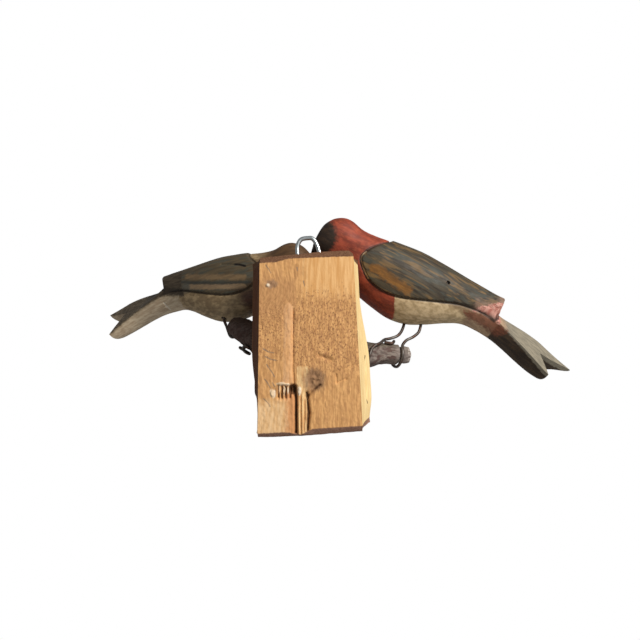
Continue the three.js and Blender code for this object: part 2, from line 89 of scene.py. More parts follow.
def cubic_through(knots: Array, values: Array, place: Array) -> Array:
    """Follow a smooth line through knots.

    Each stretch is the cubic with the knots' values at its ends, and with a slope at each knot that
    is the chord between its two neighbours.

    Args:
        knots: rising places of the knots.
        values: value at each knot.
        place: places to read.

    Returns:
        The line's value at every place.
    """
    slopes = np.empty(len(knots))
    slopes[1:-1] = (values[2:] - values[:-2]) / (knots[2:] - knots[:-2])
    slopes[0] = (values[1] - values[0]) / (knots[1] - knots[0])
    slopes[-1] = (values[-1] - values[-2]) / (knots[-1] - knots[-2])
    low = np.clip(np.searchsorted(knots, place, side="right") - 1, 0, len(knots) - 2)
    span = knots[low + 1] - knots[low]
    t = (place - knots[low]) / span
    t2 = t * t
    t3 = t2 * t
    start = (2 * t3 - 3 * t2 + 1) * values[low] + (t3 - 2 * t2 + t) * slopes[low] * span
    return start + (3 * t2 - 2 * t3) * values[low + 1] + (t3 - t2) * slopes[low + 1] * span


def catmull_rom(points: Array, count: int) -> Array:
    """Follow the centripetal Catmull-Rom curve through points.

    Knots lie apart by the square root of the distance between points, and the line is carried on by
    one mirrored point at each end. Each stretch has an equal share of the samples.

    Args:
        points: rows of x, y, z.
        count: number of samples.

    Returns:
        count rows of x, y, z.
    """
    padded = np.vstack([2 * points[0] - points[1], points, 2 * points[-1] - points[-2]])
    gaps = np.sqrt(np.linalg.norm(np.diff(padded, axis=0), axis=1))
    place = np.linspace(0, len(points) - 1, count)
    low = np.minimum(place.astype(int), len(points) - 2)
    t = (place - low)[:, None]
    p0, p1, p2, p3 = (padded[low + k] for k in range(4))
    d0, d1, d2 = (gaps[low + k][:, None] for k in range(3))
    m1 = ((p1 - p0) / d0 - (p2 - p0) / (d0 + d1) + (p2 - p1) / d1) * d1
    m2 = ((p2 - p1) / d1 - (p3 - p1) / (d1 + d2) + (p3 - p2) / d2) * d1
    c2 = -3 * p1 + 3 * p2 - 2 * m1 - m2
    c3 = 2 * p1 - 2 * p2 + m1 + m2
    return p1 + m1 * t + c2 * t**2 + c3 * t**3


def evenly(points: Array, count: int) -> Array:
    """Place samples at equal steps of length along a line of points.

    Args:
        points: rows of x, y, z.
        count: number of samples.

    Returns:
        count rows of x, y, z.
    """
    length = np.concatenate([[0], np.cumsum(np.linalg.norm(np.diff(points, axis=0), axis=1))])
    place = np.linspace(0, length[-1], count)
    return np.stack([np.interp(place, length, points[:, k]) for k in range(points.shape[1])], -1)


def lattice(cells: Array, seed: int) -> Array:
    """Give each whole-number cell a fixed pseudo-random value from 0 to 1, by mixing its bits."""
    x, y, z = (cells[..., k].astype(np.int64) for k in range(3))
    mixed = (x * 374761393 + y * 668265263 + z * 1440662683 + seed * 974634777) & 0xFFFFFFFF
    mixed = ((mixed ^ (mixed >> 13)) * 1274126177) & 0xFFFFFFFF
    mixed = mixed ^ (mixed >> 16)
    return (mixed & 0xFFFFFF) / 0xFFFFFF


def noise(points: Array, seed: int) -> Array:
    """Blend the lattice values of the eight cells round each point, with eased weights.

    Args:
        points: positions in cells.
        seed: picks the pattern.

    Returns:
        Values from -1 to 1.
    """
    low = np.floor(points)
    part = points - low
    ease = part * part * (3 - 2 * part)
    total = np.zeros(points.shape[:-1])
    for corner in np.ndindex(2, 2, 2):
        step = np.array(corner)
        weight = np.prod(np.where(step == 1, ease, 1 - ease), axis=-1)
        total += weight * lattice(low + step, seed)
    return total * 2 - 1


def rough(points: Array, size: tuple[float, float, float] | float, seed: int, octaves: int = 3) -> Array:
    """Add up noise in octaves, each half as large and half as strong as the last.

    Args:
        points: positions in mm.
        size: size of the largest lumps in mm, alike or for each axis.
        seed: picks the pattern.
        octaves: number of sizes.

    Returns:
        Values from about -1 to 1.
    """
    cells = points / np.broadcast_to(np.array(size, float), (3,))
    total = np.zeros(points.shape[:-1])
    for octave in range(octaves):
        total += noise(cells * 2**octave + 17.3 * octave, seed + octave) / 2**octave
    return total / (2 - 2.0 ** (1 - octaves))


def to_line(x: Array, z: Array, line: Line) -> Array:
    """Measure how far flat points lie from an open line of straight stretches.

    Args:
        x: first coordinate of the points.
        z: second coordinate of the points.
        line: corners of the line.

    Returns:
        Distances in mm.
    """
    corners = np.array(line, float)
    nearest = np.full(x.shape, np.inf)
    for a, b in zip(corners[:-1], corners[1:]):
        run = b - a
        share = np.clip(((x - a[0]) * run[0] + (z - a[1]) * run[1]) / (run @ run + 1e-12), 0, 1)
        gap = np.hypot(x - a[0] - share * run[0], z - a[1] - share * run[1])
        nearest = np.minimum(nearest, gap)
    return nearest


def inside(x: Array, z: Array, outline: Line) -> Array:
    """Measure the signed distance of flat points to a closed outline, positive inside.

    The sign comes from the number of sides that a ray to the right crosses.

    Args:
        x: first coordinate of the points.
        z: second coordinate of the points.
        outline: corners of the outline.

    Returns:
        Signed distances in mm.
    """
    corners = np.array(outline, float)
    crossings = np.zeros(x.shape, int)
    for a, b in zip(corners, np.roll(corners, -1, axis=0)):
        spans = (a[1] > z) != (b[1] > z)
        at = a[0] + (z - a[1]) * (b[0] - a[0]) / (b[1] - a[1] + 1e-12)
        crossings += spans & (x < at)
    closed = tuple(map(tuple, np.vstack([corners, corners[:1]])))
    return to_line(x, z, closed) * np.where(crossings % 2 == 1, 1, -1)


def along_line(line: Line, place: Array) -> Array:
    """Read a broken line of (place, height) corners at many places."""
    corners = np.array(sorted(line))
    return np.interp(place, corners[:, 0], corners[:, 1])


# Meshes


@dataclass
class Skin:
    """A closed surface in mm with fields on its points, before it becomes a mesh."""

    points: Array
    quads: Array
    triangles: Array
    fields: dict[str, Array]

    def joined(self, other: "Skin") -> "Skin":
        """Put another closed surface beside this one, with the fields of both."""
        shift = len(self.points)
        names = self.fields.keys() | other.fields.keys()
        fields = {name: np.concatenate([part.field(name) for part in (self, other)]) for name in names}
        return Skin(
            np.vstack([self.points, other.points]),
            np.vstack([self.quads, other.quads + shift]),
            np.vstack([self.triangles, other.triangles + shift]),
            fields,
        )

    def field(self, name: str) -> Array:
        """Read a field, or a value far outside it where this surface has none."""
        if name in self.fields:
            return self.fields[name]
        if name == "pattern":
            return self.points.copy()
        return np.full(len(self.points), -99.0)

    def outward(self) -> "Skin":
        """Turn every face round where the surface holds a negative volume."""
        a, b, c = (self.points[self.quads[:, k]] for k in range(3))
        d = self.points[self.quads[:, 3]]
        volume = np.einsum("ij,ij->", a, np.cross(b, c)) + np.einsum("ij,ij->", a, np.cross(c, d))
        if len(self.triangles):
            e, f, g = (self.points[self.triangles[:, k]] for k in range(3))
            volume += np.einsum("ij,ij->", e, np.cross(f, g))
        if volume < 0:
            self.quads = self.quads[:, ::-1]
            self.triangles = self.triangles[:, ::-1]
        return self


def round_quads(rows: int, columns: int) -> Array:
    """List the four-sided faces of a grid whose columns run round and close."""
    row = np.arange(rows - 1)[:, None] * columns
    column = np.arange(columns)[None, :]
    following = (column + 1) % columns
    a = row + column
    b = row + following
    return np.stack([a, b, b + columns, a + columns], -1).reshape(-1, 4)


def fan(ring: Array, centre: int, forwards: bool) -> Array:
    """List the triangles from a ring of point numbers to one middle point."""
    following = np.roll(ring, -1)
    middle = np.full(len(ring), centre)
    pair = (following, ring) if forwards else (ring, following)
    return np.stack([middle, *pair], -1)


def grid_normals(points: Array) -> Array:
    """Work out outward directions on a round grid: the cross product of its two differences.

    Args:
        points: rows by columns by 3, with columns that run round.

    Returns:
        Unit directions of the same shape, away from each ring's middle.
    """
    down = np.gradient(points, axis=0)
    across = np.roll(points, -1, axis=1) - np.roll(points, 1, axis=1)
    normals = np.cross(down, across)
    normals /= np.linalg.norm(normals, axis=-1, keepdims=True) + 1e-12
    outwards = points - points.mean(axis=1, keepdims=True)
    facing = np.sign(np.einsum("ijk,ijk->", normals, outwards))
    return normals * facing


def tube(line: Array, radius: Array, sides: int, seed: int, dents: float) -> Skin:
    """Sweep a circle along a line: point = centre + radius times (cos of side, sin of up).

    The pair of directions is carried along the line without twist. Both ends round off to a point.

    Args:
        line: even samples of the middle line in mm.
        radius: radius at each sample in mm.
        sides: number of columns.
        seed: picks the dents.
        dents: depth of the dents in mm.

    Returns:
        The closed tube, with its pattern as length along, then two round coordinates.
    """
    ahead = np.gradient(line, axis=0)
    ahead /= np.linalg.norm(ahead, axis=1, keepdims=True)
    beside = np.empty_like(line)
    carried = np.cross(ahead[0], [0.3, 0.5, 0.8])
    for k, direction in enumerate(ahead):
        carried = carried - direction * (carried @ direction)
        carried = carried / np.linalg.norm(carried)
        beside[k] = carried
    above = np.cross(ahead, beside)
    turn = np.linspace(0, 2 * np.pi, sides, endpoint=False)
    spokes = beside[:, None] * np.cos(turn)[None, :, None] + above[:, None] * np.sin(turn)[None, :, None]
    length = np.concatenate([[0], np.cumsum(np.linalg.norm(np.diff(line, axis=0), axis=1))])
    middle = line[:, None] + spokes * radius[:, None, None]
    middle = middle + spokes * (dents * rough(middle, 2.2, seed))[..., None]
    caps = []
    for end, direction in ((0, -1.0), (-1, 1.0)):
        steps = np.array([0.35, 0.7, 0.92])
        shrink = np.sqrt(1 - steps**2)[:, None, None]
        push = (direction * steps * radius[end] * 0.8)[:, None, None]
        caps.append(line[end] + spokes[end] * radius[end] * shrink + ahead[end] * push)
    grid = np.concatenate([caps[0][::-1], middle, caps[1]])
    rows = len(grid)
    points = grid.reshape(-1, 3)
    poles = np.array([grid[0].mean(0), grid[-1].mean(0)])
    along = np.concatenate([np.full(3, 0.0), length, np.full(3, length[-1])])
    around = np.broadcast_to(turn, (rows, sides)) * radius.mean()
    pattern = np.stack([np.broadcast_to(along[:, None], (rows, sides)), around, 0 * around], -1)
    pattern = np.vstack([pattern.reshape(-1, 3), [[0, 0, 0], [length[-1], 0, 0]]])
    first = fan(np.arange(sides), len(points), True)
    last = fan(np.arange(sides) + (rows - 1) * sides, len(points) + 1, False)
    skin = Skin(np.vstack([points, poles]), round_quads(rows, sides), np.vstack([first, last]),
                {"pattern": pattern})
    return skin.outward()


def new_object(name: str, skin: Skin, crease: float) -> bpy.types.Object:
    """Turn a surface into a Blender object at the origin, in metres.

    Args:
        name: the object's name.
        skin: the surface in mm.
        crease: angle in degrees from which an edge is shaded sharp.

    Returns:
        The linked object.
    """
    mesh = bpy.data.meshes.new(name)
    corners = np.concatenate([skin.quads.ravel(), skin.triangles.ravel()]).astype(np.int32)
    counts = np.concatenate([np.full(len(skin.quads), 4), np.full(len(skin.triangles), 3)])
    starts = np.concatenate([[0], np.cumsum(counts)[:-1]]).astype(np.int32)
    mesh.vertices.add(len(skin.points))
    mesh.vertices.foreach_set("co", (skin.points * MM).ravel().astype(np.float32))
    mesh.loops.add(len(corners))
    mesh.loops.foreach_set("vertex_index", corners)
    mesh.polygons.add(len(counts))
    mesh.polygons.foreach_set("loop_start", starts)
    mesh.update(calc_edges=True)
    mesh.validate()
    mesh.shade_smooth()
    mesh.set_sharp_from_angle(angle=math.radians(crease))
    write_fields(mesh, skin.fields)
    obj = bpy.data.objects.new(name, mesh)
    bpy.context.scene.collection.objects.link(obj)
    return obj


def write_fields(mesh: bpy.types.Mesh, fields: dict[str, Array]) -> None:
    """Store each field on the mesh's points, a number or a vector for each."""
    for name, values in fields.items():
        if values.ndim == 2:
            layer = mesh.attributes.new(name, "FLOAT_VECTOR", "POINT")
            layer.data.foreach_set("vector", values.ravel().astype(np.float32))
        else:
            layer = mesh.attributes.new(name, "FLOAT", "POINT")
            layer.data.foreach_set("value", values.astype(np.float32))


# Materials


def linear(hex_color: str) -> tuple[float, float, float, float]:
    """Turn an sRGB hex colour into the linear values that shaders use.

    Args:
        hex_color: such as "#a0b0c0".

    Returns:
        Red, green, blue and full opacity.
    """
    parts = [int(hex_color[k : k + 2], 16) / 255 for k in (1, 3, 5)]
    red, green, blue = (v / 12.92 if v <= 0.04045 else ((v + 0.055) / 1.055) ** 2.4 for v in parts)
    return red, green, blue, 1.0


def add(tree: bpy.types.NodeTree, kind: str, settings: dict | None = None, links: dict | None = None):
    """Add a node with its settings, and feed its inputs.

    Args:
        tree: node tree that gets the node.
        kind: Blender's name of the node type.
        settings: properties to set.
        links: input name or number, with a socket to link or a value to set.

    Returns:
        The new node.
    """
    new = tree.nodes.new(kind)
    for key, value in (settings or {}).items():
        setattr(new, key, value)
    for key, value in (links or {}).items():
        if isinstance(value, bpy.types.NodeSocket):
            tree.links.new(value, new.inputs[key])
        else:
            new.inputs[key].default_value = value
    return new


@dataclass(frozen=True)
class Tone:
    """One colour area: streaks between two colours, where a field on the mesh is above zero.

    streak is the streaks' width in mm and stretch their length over width. soft is how many mm the
    area's edge fades over, and wander how many mm it strays. patches above zero breaks the area up:
    only where a coarse noise is above it does the tone show.
    """

    dark: str
    light: str
    field: str = ""
    streak: float = 2.0
    stretch: float = 6.0
    soft: float = 1.5
    wander: float = 0.6
    strength: float = 1.0
    patches: float = 0.0
    patch_size: float = 4.0
    patch_stretch: float = 3.0


@dataclass(frozen=True)
class Finish:
    """A material: its tones in the order that they go on, and the feel of its surface.

    grit is the size of the finest bumps in mm, and relief their height in mm.
    """

    name: str
    tones: tuple[Tone, ...]
    roughness: float
    grit: float
    grit_stretch: float
    relief: float
    metallic: float = 0.0
    specular: float = 0.4

    def material(self) -> bpy.types.Material:
        """Build the node material.

        Each tone's colour is a mix of its two colours by streaky noise, and its share is the eased
        field, strayed by noise, times its strength.

        Returns:
            The new material.
        """
        made = bpy.data.materials.new(self.name)
        made.use_nodes = True
        tree = made.node_tree
        tree.nodes.clear()
        pattern = add(tree, "ShaderNodeAttribute", {"attribute_name": "pattern"}).outputs["Vector"]
        colour = None
        for number, tone in enumerate(self.tones):
            shade = self._streaks(tree, pattern, tone, number)
            if colour is None:
                colour = shade
                continue
            share = self._share(tree, pattern, tone, number)
            blend = add(tree, "ShaderNodeMix", {"data_type": "RGBA"}, {0: share, 6: colour, 7: shade})
            colour = blend.outputs[2]
        grit = self._noise(tree, pattern, self.grit, self.grit_stretch, 40.0, 4.0)
        bump = add(tree, "ShaderNodeBump", None,
                   {"Height": grit, "Strength": 1.0, "Distance": self.relief * MM})
        rough_noise = self._noise(tree, pattern, 6.0, 2.0, 60.0, 2.0)
        roughness = add(tree, "ShaderNodeMapRange", None,
                        {"Value": rough_noise, "From Min": 0.3, "From Max": 0.7,
                         "To Min": self.roughness - 0.1, "To Max": self.roughness + 0.1})
        shader = add(tree, "ShaderNodeBsdfPrincipled", None,
                     {"Base Color": colour, "Roughness": roughness.outputs[0],
                      "Metallic": self.metallic, "Specular IOR Level": self.specular,
                      "Normal": bump.outputs[0]})
        add(tree, "ShaderNodeOutputMaterial", None, {"Surface": shader.outputs[0]})
        return made

    @staticmethod
    def _noise(tree, pattern, size: float, stretch: float, shift: float, detail: float):
        """Read noise with lumps of a size in mm, drawn out along the pattern's first direction."""
        scaled = add(tree, "ShaderNodeVectorMath", {"operation": "MULTIPLY_ADD"},
                     {0: pattern, 1: (1 / (size * stretch), 1 / size, 1 / size), 2: (shift,) * 3})
        grain = add(tree, "ShaderNodeTexNoise", None,
                    {"Vector": scaled.outputs[0], "Scale": 1.0, "Detail": detail, "Roughness": 0.55})
        return grain.outputs[0]

    def _streaks(self, tree, pattern, tone: Tone, number: int):
        """Mix the tone's two colours by streaky noise."""
        grain = self._noise(tree, pattern, tone.streak, tone.stretch, 3.7 * number, 3.0)
        share = add(tree, "ShaderNodeMapRange", {"interpolation_type": "SMOOTHSTEP"},
                    {"Value": grain, "From Min": 0.34, "From Max": 0.66})
        blend = add(tree, "ShaderNodeMix", {"data_type": "RGBA"},
                    {0: share.outputs[0], 6: linear(tone.dark), 7: linear(tone.light)})
        return blend.outputs[2]

    def _share(self, tree, pattern, tone: Tone, number: int):
        """Work out how strongly the tone shows at a point."""
        strength = tone.strength
        if tone.field:
            value = add(tree, "ShaderNodeAttribute", {"attribute_name": tone.field}).outputs["Fac"]
            stray = self._noise(tree, pattern, 2.0, 1.5, 11.3 + number, 3.0)
            moved = add(tree, "ShaderNodeMath", {"operation": "MULTIPLY_ADD"},
                        {0: stray, 1: 4 * tone.wander, 2: value})
            eased = add(tree, "ShaderNodeMapRange", {"interpolation_type": "SMOOTHSTEP"},
                        {"Value": moved.outputs[0], "From Min": 2 * tone.wander - tone.soft / 2,
                         "From Max": 2 * tone.wander + tone.soft / 2, "To Max": tone.strength})
            strength = eased.outputs[0]
        if tone.patches > 0:
            coarse = self._noise(tree, pattern, tone.patch_size, tone.patch_stretch, 29.1 + number, 2.0)
            broken = add(tree, "ShaderNodeMapRange", {"interpolation_type": "SMOOTHSTEP"},
                         {"Value": coarse, "From Min": tone.patches - 0.06,
                          "From Max": tone.patches + 0.06})
            product = add(tree, "ShaderNodeMath", {"operation": "MULTIPLY"},
                          {0: broken.outputs[0], 1: strength})
            strength = product.outputs[0]
        return strength


def dress(obj: bpy.types.Object, node: str, finish: Finish) -> bpy.types.Object:
    """Give a piece its finish, and let it ride in place of its CAD node.

    Args:
        obj: the piece.
        node: CAD node that it stands for.
        finish: what it is made of.

    Returns:
        The same piece.
    """
    obj.data.materials.append(finish.material())
    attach(obj, BODY_NAME)
    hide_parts(node)
    LOG.info("%s: %d faces, rides on %s", obj.name, len(obj.data.polygons), BODY_NAME)
    return obj


# Birds

# Columns: along from the crown, back, waist, under and half breadth, all in mm.
BODY_STATIONS = np.array([
    [-11, -24, -24, -24, 0],
    [-10.6, -17, -24, -31, 6.5],
    [-9.6, -12.3, -23, -34.5, 9.5],
    [-7, -7.4, -21, -37.5, 12],
    [-3.5, -3.3, -19, -39.5, 14],
    [3, 0.4, -18, -41.5, 15.3],
    [10, 1, -18, -43.5, 15.8],
    [21, -1.4, -21, -46.5, 16.5],
    [33, -1, -25, -49.5, 18.5],
    [46, 1, -26, -53.2, 20.5],
    [60, 3, -26, -55.8, 21.5],
    [76, 4.6, -26, -57.4, 21.8],
    [92, 4.6, -25, -54.3, 20.8],
    [107, 4.3, -23, -46.5, 18.5],
    [121, 4, -20, -37.5, 16],
    [133, 1.5, -17, -31.8, 13.8],
    [147, -5.6, -13, -30.4, 12.8],
    [162, -11.2, -14, -31.4, 12.8],
    [176, -15, -16, -34.4, 13.4],
    [190, -18.4, -19.2, -38.4, 14.6],
    [202, -22, -22.8, -40.8, 15.8],
    [212, -25.8, -26.4, -40.6, 16.6],
    [222, -29, -29.6, -37.6, 17],
    [240, -34, -34.6, -38, 17],
])
WING_PROUD = 1.3
MANTLE_END = np.array([
    [133, 5.2, -15.5, -32, 15.2],
    [146, 5, -9, -24, 13],
    [164, 5.8, -3, -14, 11],
])
WING_FRONT = ((52, 12), (44.5, -3), (36.5, -13), (31.5, -22), (30.5, -28))
WING_LOWER = ((37.8, -36), (44.5, -40.6), (54.2, -43), (64.3, -43), (74, -41), (88, -35.6),
              (104, -28.6), (118, -22.6), (131, -17.8), (144, -13.6))
WING_CUT = (-11, 10)
LEAN_FROM, LEAN_TO = 118.0, 206.0
BEND_FROM, TAIL_END = 120.0, 240.0


def mantle_stations() -> Array:
    """Grow the body's stations by the wing's thickness, and run on over the tail root."""
    along = BODY_STATIONS[:, 0]
    grown = BODY_STATIONS[(along > 10) & (along < 130)].copy()
    grown += WING_PROUD * np.array([0, 1, 0, -1, 1])
    return np.vstack([grown, MANTLE_END])


@dataclass
class Bird:
    """One carved bird: a body with folded wings over it, a bent and leaning forked tail, and a bill.

    side is +1 where the tail points to +X. The fork runs from the wall's lobe through the vertex to
    the room's lobe. Lengths are mm and angles degrees, in the bird's own frame before its scale.
    """

    name: str
    slot: str
    crown: tuple[float, float, float]
    side: int
    scale: float
    slope: float
    yaw: float
    body_lean: float
    tail_lean: float
    tail_bend: float
    tail_depth: float
    lobe_drop: float
    lobe_spread: float
    wing_depth: float
    wing_tip: float
    wing_slant: float
    fork: tuple[float, float, float]
    sockets: tuple[tuple[tuple[float, float, float], tuple[float, float, float]], ...]
    seed: int
    rows: int = 392
    columns: int = 224
    bill_length: float = 15.0
    bill_base: float = 11.0
    bill_at: tuple[float, float] = (-5.5, -27.0)
    bill_drop: float = 80.0
    bill_turn: float = 26.0

    def build(self, finish: Finish) -> bpy.types.Object:
        """Make the carved surface and its paint fields, and dress it."""
        skin = self.carving()
        skin.points = self.placed(skin.points)
        skin = self.with_sockets(skin)
        obj = new_object(self.name + "_carving", skin.outward(), 38)
        return dress(obj, self.name, finish)

    def wing_outline(self) -> Line:
        """Run a smooth line round the wing's front arc and lower edge, and close it by the cut."""
        lower = tuple((x, z * self.wing_depth) for x, z in WING_LOWER)
        arc = np.array([(x, z, 0) for x, z in WING_FRONT + lower])
        line = evenly(catmull_rom(arc, 300), 70)[:, :2]
        cut = np.array([(self.wing_tip - self.wing_slant, WING_CUT[0]), (self.wing_tip, WING_CUT[1] + 6)])
        return tuple(map(tuple, np.vstack([line, cut])))

    def section(self, stations: Array, along: Array, turn: Array) -> tuple[Array, Array, Array, Array]:
        """Cut the straight carving pattern.

        The ring is a superellipse: across = half times cos to the power 2/n, height = waist plus the
        reach up or down times sin to the power 2/n.

        Args:
            stations: rows of along, back, waist, under, half.
            along: place of each point.
            turn: angle of each point round the ring.

        Returns:
            Across, height, waist and half breadth of each point.
        """
        back, waist, under, half = (cubic_through(stations[:, 0], stations[:, k], along)
                                    for k in (1, 2, 3, 4))
        under = under - self.tail_depth * smooth(115, 145, along) - self.lobe_drop * smooth(200, 235, along)
        power = 2 / mix(2.15, 2.7, smooth(125, 175, along))
        c, s = np.cos(turn), np.sin(turn)
        breadth = half + np.where(c > 0, self.lobe_spread, 0) * smooth(185, 214, along)
        across = breadth * signed_power(c, power)
        height = waist + np.where(s > 0, back - waist, waist - under) * signed_power(s, power)
        return across, height, waist, breadth

    def posed(self, along: Array, across: Array, height: Array, waist: Array) -> Array:
        """Lean the section to the wall round its waist, and bend the tail along an arc.

        Args:
            along: place along the body.
            across: distance to the wall's side.
            height: height in the straight pattern.
            waist: height that the lean turns round.

        Returns:
            Points in the bird's frame.
        """
        lean = np.radians(mix(self.body_lean, self.tail_lean, smooth(LEAN_FROM, LEAN_TO, along)))
        rise = height - waist
        side = across * np.cos(lean) + rise * np.sin(lean)
        up = waist - across * np.sin(lean) + rise * np.cos(lean)
        past = np.maximum(0, along - BEND_FROM)
        reach = TAIL_END - BEND_FROM
        radius = reach / math.radians(self.tail_bend)
        bend = past / radius
        x = along - past + radius * np.sin(bend) - side * np.sin(bend)
        y = self.side * (radius * (1 - np.cos(bend)) + side * np.cos(bend))
        return np.stack([x, y, up], -1)

    def row_places(self) -> Array:
        """Space the rows evenly over the skin, and crowd them at the wing's cut.

        Returns:
            The place along the body of each row, before the fork draws the last ones back.
        """
        fine = np.linspace(-10.999, max(self.fork), 6000)
        steps = [np.gradient(cubic_through(BODY_STATIONS[:, 0], BODY_STATIONS[:, k], fine), fine)
                 for k in (1, 3, 4)]
        speed = np.sqrt(1 + sum(step**2 for step in steps) / 2)
        middle = self.wing_tip - self.wing_slant / 2
        speed = speed * (1 + 2.2 * bell(fine - middle, self.wing_slant * 0.5 + 3))
        total = np.concatenate([[0], np.cumsum(speed[1:] * np.diff(fine))])
        return np.interp(np.linspace(0, total[-1], self.rows), total, fine)

    def carving(self) -> Skin:
        """Carve the whole bird as one grid, add the fork's face and the bill, and measure its paint."""
        turn = np.linspace(0, 2 * np.pi, self.columns, endpoint=False)
        turn = turn + 0.5 * np.pi / self.columns
        turn_grid, along = np.meshgrid(turn, self.row_places())
        vertex, wall_lobe, room_lobe = self.fork
        plan = signed_power(np.cos(turn_grid), 2 / 2.7)
        limit = vertex + np.abs(plan) * np.where(plan > 0, wall_lobe - vertex, room_lobe - vertex)
        start = 176.0
        share = np.clip((along - start) / (along.max() - start), 0, 1)
        along = np.where(along > start, mix(start, limit, share), along)
        across, height, waist, breadth = self.section(BODY_STATIONS, along, turn_grid)
        body = self.posed(along, across, height, waist)
        mantle_along = np.clip(along, 21, 164)
        m_across, m_height, m_waist, _ = self.section(mantle_stations(), mantle_along, turn_grid)
        mantle = self.posed(mantle_along, m_across, m_height, m_waist)
        mantle[..., 0] += along - mantle_along
        edge = inside(mantle[..., 0], mantle[..., 2], self.wing_outline())
        ragged = edge + 0.25 * rough(mantle, 5, self.seed + 5)
        cover = smooth(-0.15, 1.1, ragged)
        skin = mix(body, mantle, cover[..., None])
        normals = grid_normals(skin)
        relief = self.relief(skin, along, across, height, ragged)
        skin = skin + normals * relief[..., None]
        fields = self.paint(skin, along, across, height, waist, breadth, edge, np.sin(turn_grid))
        fields = {name: values.reshape(-1, *values.shape[2:]) for name, values in fields.items()}
        return self.closed(skin, fields).joined(self.bill())

    def relief(self, skin: Array, along: Array, across: Array, height: Array, edge: Array) -> Array:
        """Work out how far the surface stands out or in, in mm.

        It is the groove outside the wing's edge, long knife facets, fine brush and wood grain, and
        the bird's own damage.

        Args:
            skin: points in the bird's frame.
            along: place along the body.
            across: distance to the wall's side.
            height: height in the straight pattern.
            edge: signed distance to the wing's outline.

        Returns:
            Distances along the outward directions.
        """
        straight = np.stack([along, across, height], -1)
        before_cut = 1 - smooth(self.wing_tip - self.wing_slant - 6, self.wing_tip - self.wing_slant, along)
        groove = -0.95 * bell(edge + 0.75, 0.75) * before_cut * smooth(24, 32, along)
        facets = 0.16 * rough(straight, (26, 7, 7), self.seed, 2)
        grain = 0.07 * rough(straight, (9, 1.6, 1.6), self.seed + 3, 3)
        return groove + (facets + grain) * smooth(-11, -8, along) + self.damage(skin, along, across, edge)

    def damage(self, skin: Array, along: Array, across: Array, edge: Array) -> Array:
        """Dents, holes and chips of this bird; none unless the bird has its own."""
        return np.zeros(along.shape)

    def paint(self, skin, along, across, height, waist, breadth, edge, rise) -> dict[str, Array]:
        """Fields in mm that tell the finish where each paint lies.

        Returns:
            The straight pattern, the wing's edge, and painted shade along the groove outside that edge; each
            bird adds its own.
        """
        pattern = np.stack([along, across, height], -1)
        # line: painted shade, a dark band along the groove outside the wing's edge.
        return {"pattern": pattern, "wing": edge, "line": 0.9 - np.abs(edge + 0.7)}

    def closed(self, grid: Array, fields: dict[str, Array]) -> Skin:
        """Close the face by a fan, and the fork by strips between the upper and the lower half."""
        rows, columns = grid.shape[:2]
        points = grid.reshape(-1, 3)
        last = (rows - 1) * columns
        half = columns // 2
        upper = last + np.arange(half)
        lower = last + (columns - 1 - np.arange(half))
        strip = np.stack([upper[:-1], upper[1:], lower[1:], lower[:-1]], -1)
        nose = len(points)
        points = np.vstack([points, points[:columns].mean(0)])
        fields = {name: np.concatenate([v, v[:1]]) for name, v in fields.items()}
        quads = np.vstack([round_quads(rows, columns), strip])
        return Skin(points, quads, fan(np.arange(columns), nose, True), fields)

    def bill(self) -> Skin:
        """Carve the bill: a cone with a slightly swollen side, whose base is sunk in the face."""
        rows, columns = 26, 40
        share = np.linspace(0, 1, rows)[:, None]
        turn = np.linspace(0, 2 * np.pi, columns, endpoint=False)[None, :]
        radius = self.bill_base / 2 * (1 - share) ** 0.85 * (1 - 0.12 * np.cos(turn) ** 2 * share)
        reach = np.broadcast_to(self.bill_length * (1 - (1 - share) ** 1.15), radius.shape)
        seam = 0.25 * bell(np.sin(turn) * radius, 0.35) * smooth(0.15, 0.4, share)
        x = -reach
        y = (radius - seam) * np.cos(turn)
        z = (radius - seam) * np.sin(turn)
        drop = math.radians(-self.bill_drop)
        x, z = x * math.cos(drop) + z * math.sin(drop), -x * math.sin(drop) + z * math.cos(drop)
        roll = math.radians(-self.side * self.bill_turn)
        y, z = y * math.cos(roll) - z * math.sin(roll), y * math.sin(roll) + z * math.cos(roll)
        grid = np.stack([x + self.bill_at[0], y, z + self.bill_at[1]], -1)
        points = np.vstack([grid.reshape(-1, 3), grid[0].mean(0)])
        ends = fan(np.arange(columns), len(points) - 1, True)
        skin = Skin(points, round_quads(rows, columns), ends, {})
        skin.fields = {"pattern": points.copy(), "bill": np.full(len(points), 9.0)}
        return skin.outward()

    def placed(self, points: Array) -> Array:
        """Turn the bird by its yaw and slope, scale it, and set its crown in place."""
        slope, yaw = math.radians(self.slope), math.radians(self.yaw)
        level = np.array([self.side * math.cos(yaw), -math.sin(yaw), 0])
        up = np.array([0.0, 0, 1])
        ahead = level * math.cos(slope) - up * math.sin(slope)
        above = level * math.sin(slope) + up * math.cos(slope)
        beside = np.cross(above, ahead)
        return points @ np.stack([ahead, beside, above]) * self.scale + np.array(self.crown)

    def with_sockets(self, skin: Skin) -> Skin:
        """Sink a drilled socket where each leg leaves the belly, and paint shade into it."""
        skin.fields["socket"] = np.full(len(skin.points), -9.0)
        for top, leaving in self.sockets:
            end, start = np.array(leaving), np.array(top)
            axis = (end - start) / np.linalg.norm(end - start)
            offset = skin.points - end
            depth = offset @ axis
            apart = np.linalg.norm(offset - depth[:, None] * axis, axis=1)
            near = (depth > -12) & (depth < 9)
            sunk = (1 - smooth(1.3, 2.0, apart)) * near
            skin.points = skin.points - axis * (2.2 * sunk)[:, None]
            # socket: painted shade, dark inside each leg's socket.
            skin.fields["socket"] = np.maximum(skin.fields["socket"], np.where(near, 2.3 - apart, -9))
        return skin


